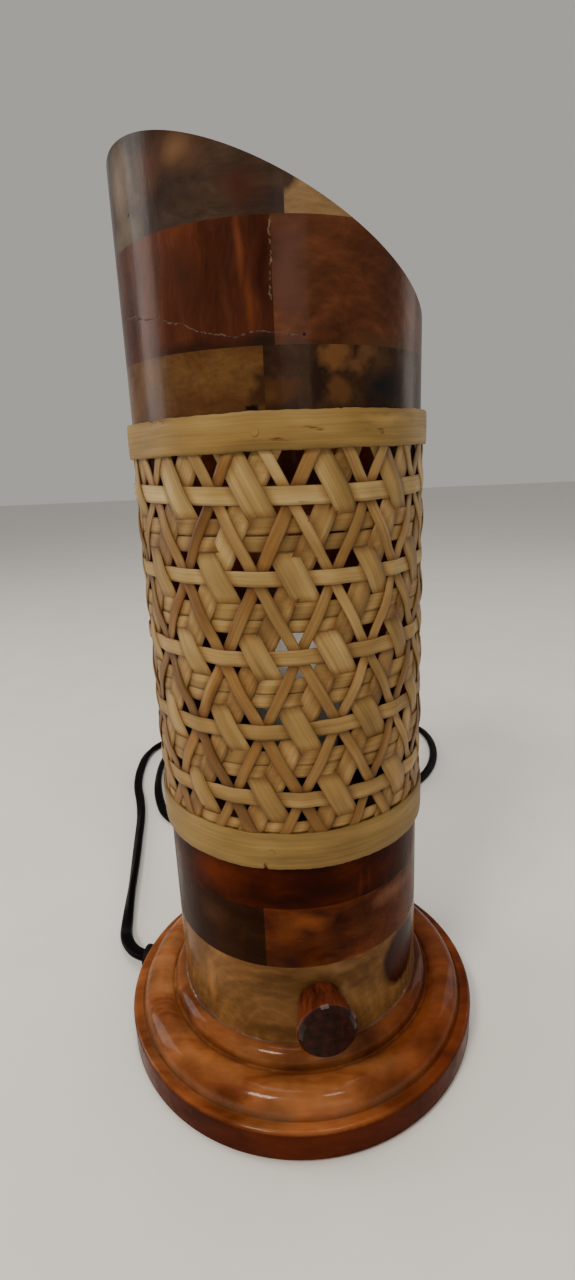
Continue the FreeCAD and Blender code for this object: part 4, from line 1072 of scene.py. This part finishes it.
def make_glue():
    """The hairline glue crack, the filled upright seam and the lacquer round the foot."""
    crack_route = (
        (-66, 282.5), (-49.5, 279.7), (-37.6, 277.5), (-31.3, 275.8), (-23.8, 273.5), (-18.6, 272),
        (-12, 271.3), (-7.2, 271.6), (-3.4, 272.2), (2.2, 271.6), (5.3, 270.6), (8.2, 270.9),
    )
    seam_route = ((0.5, 299.2), (0.2, 291.5), (-0.5, 279.6))
    crack = make_ridge("glue_crack", crack_route, width=0.45, height=0.08, gap=0.7, seed=8)
    filler = make_ridge("seam_filler", seam_route, width=0.7, height=0.12, gap=1.6, seed=15)
    bead = make_foot_bead()
    glue = plain("dried_glue", colour(78, 62, 51), 0.7, grain=0.5, spread=0.7, sheen=0.1)
    pale = plain("pale_filler", colour(82, 63, 46), 0.6, grain=0.6, spread=0.8, sheen=0.15)
    for piece, material in ((crack, glue), (filler, pale), (bead, make_bead_material())):
        piece.data.materials.append(material)


# -------- stage and light


def area_light(name, where, size, power, tint):
    """A rectangular lamp aimed at the middle of the tube; sizes in metres, power in watts."""
    middle = Vector((0.0, 0.0, 0.16))
    data = bpy.data.lights.new(name, "AREA")
    data.shape = "RECTANGLE"
    data.size, data.size_y = size
    data.energy = power
    data.color = tint
    light = add_object(name, data)
    light.location = where
    light.rotation_euler = (middle - Vector(where)).to_track_quat("-Z", "Y").to_euler()


def make_stage():
    """A plain pale floor and soft studio light."""
    mesh = bpy.data.meshes.new("floor")
    half = 4.0
    corners = [(-half, -half, 0), (half, -half, 0), (half, half, 0), (-half, half, 0)]
    mesh.from_pydata(corners, [], [(0, 1, 2, 3)])
    floor = add_object("floor", mesh)
    paint = Paint("pale_floor", {"Specular IOR Level": 0.1})
    paper = paint.noise(paint.place(), 0.02, 3.0)
    tone = paint.ramp(paper, (0.3, (0.74, 0.73, 0.71)), (0.7, (0.77, 0.76, 0.74)))
    mesh.materials.append(paint.finish(tone, 0.9, paper, 0.02))
    world = bpy.data.worlds.new("studio")
    bpy.context.scene.world = world
    world.use_nodes = True
    background = world.node_tree.nodes["Background"]
    background.inputs["Color"].default_value = (1.0, 0.96, 0.9, 1.0)
    background.inputs["Strength"].default_value = 0.42
    area_light("key", (-0.45, -0.72, 1.05), (0.28, 0.22), 9.0, (1.0, 0.9, 0.76))
    area_light("key_right", (0.26, -0.62, 1.1), (0.16, 0.16), 2.0, (1.0, 0.9, 0.76))
    area_light("front", (0.35, -1.3, 0.5), (0.5, 0.5), 1.5, (1.0, 0.92, 0.82))
    area_light("left_window", (-1.3, 0.25, 0.5), (0.5, 0.9), 7.5, (1.0, 0.96, 0.9))
    area_light("right_fill", (1.1, 0.65, 0.5), (0.4, 0.9), 1.9, (1.0, 0.95, 0.88))
    area_light("over", (0.0, 0.1, 1.3), (0.6, 0.6), 5.0, (1.0, 0.93, 0.84))


make_small_materials()
make_upper_woods()
make_lower_woods()
make_weave()
make_hoop(
    "hoop_bottom", "bottom_hoop", tilt=-0.016, seed=101,
    nicks_below=((-11.5, 0.9, 0.9), (19.5, 0.8, 0.3)),
    marks=(mark(-11.5, 105.0, 0.8, 2.0, (70, 44, 20), 0.6, 1, 0.3),),
)
make_hoop(
    "hoop_top", "top_hoop", tilt=0.010, seed=202,
    nicks_above=((-47, 1.6, 0.5), (-44, 0.9, 0.4), (21, 1.2, 0.35)),
    marks=(
        mark(-0.5, 243.9, 2.2, 0.6, (86, 50, 24), 0.7, 1, 0.3),
        mark(1.2, 243.6, 3.5, 0.3, (96, 62, 30), 0.9, 1, 0.3),
        mark(11.0, 246.8, 3.6, 0.45, (96, 62, 30), 0.8, 1, 0.3),
        mark(13.6, 246.0, 1.2, 0.5, (88, 54, 26), 0.8, 1, 0.3),
        mark(-42, 250.6, 6.0, 0.8, (88, 60, 30), 0.9, 1.5, 0.3),
        mark(40, 248.5, 12.0, 2.0, (148, 120, 66), 0.9, 2, 0.1),
    ),
)
make_glue()
make_stage()
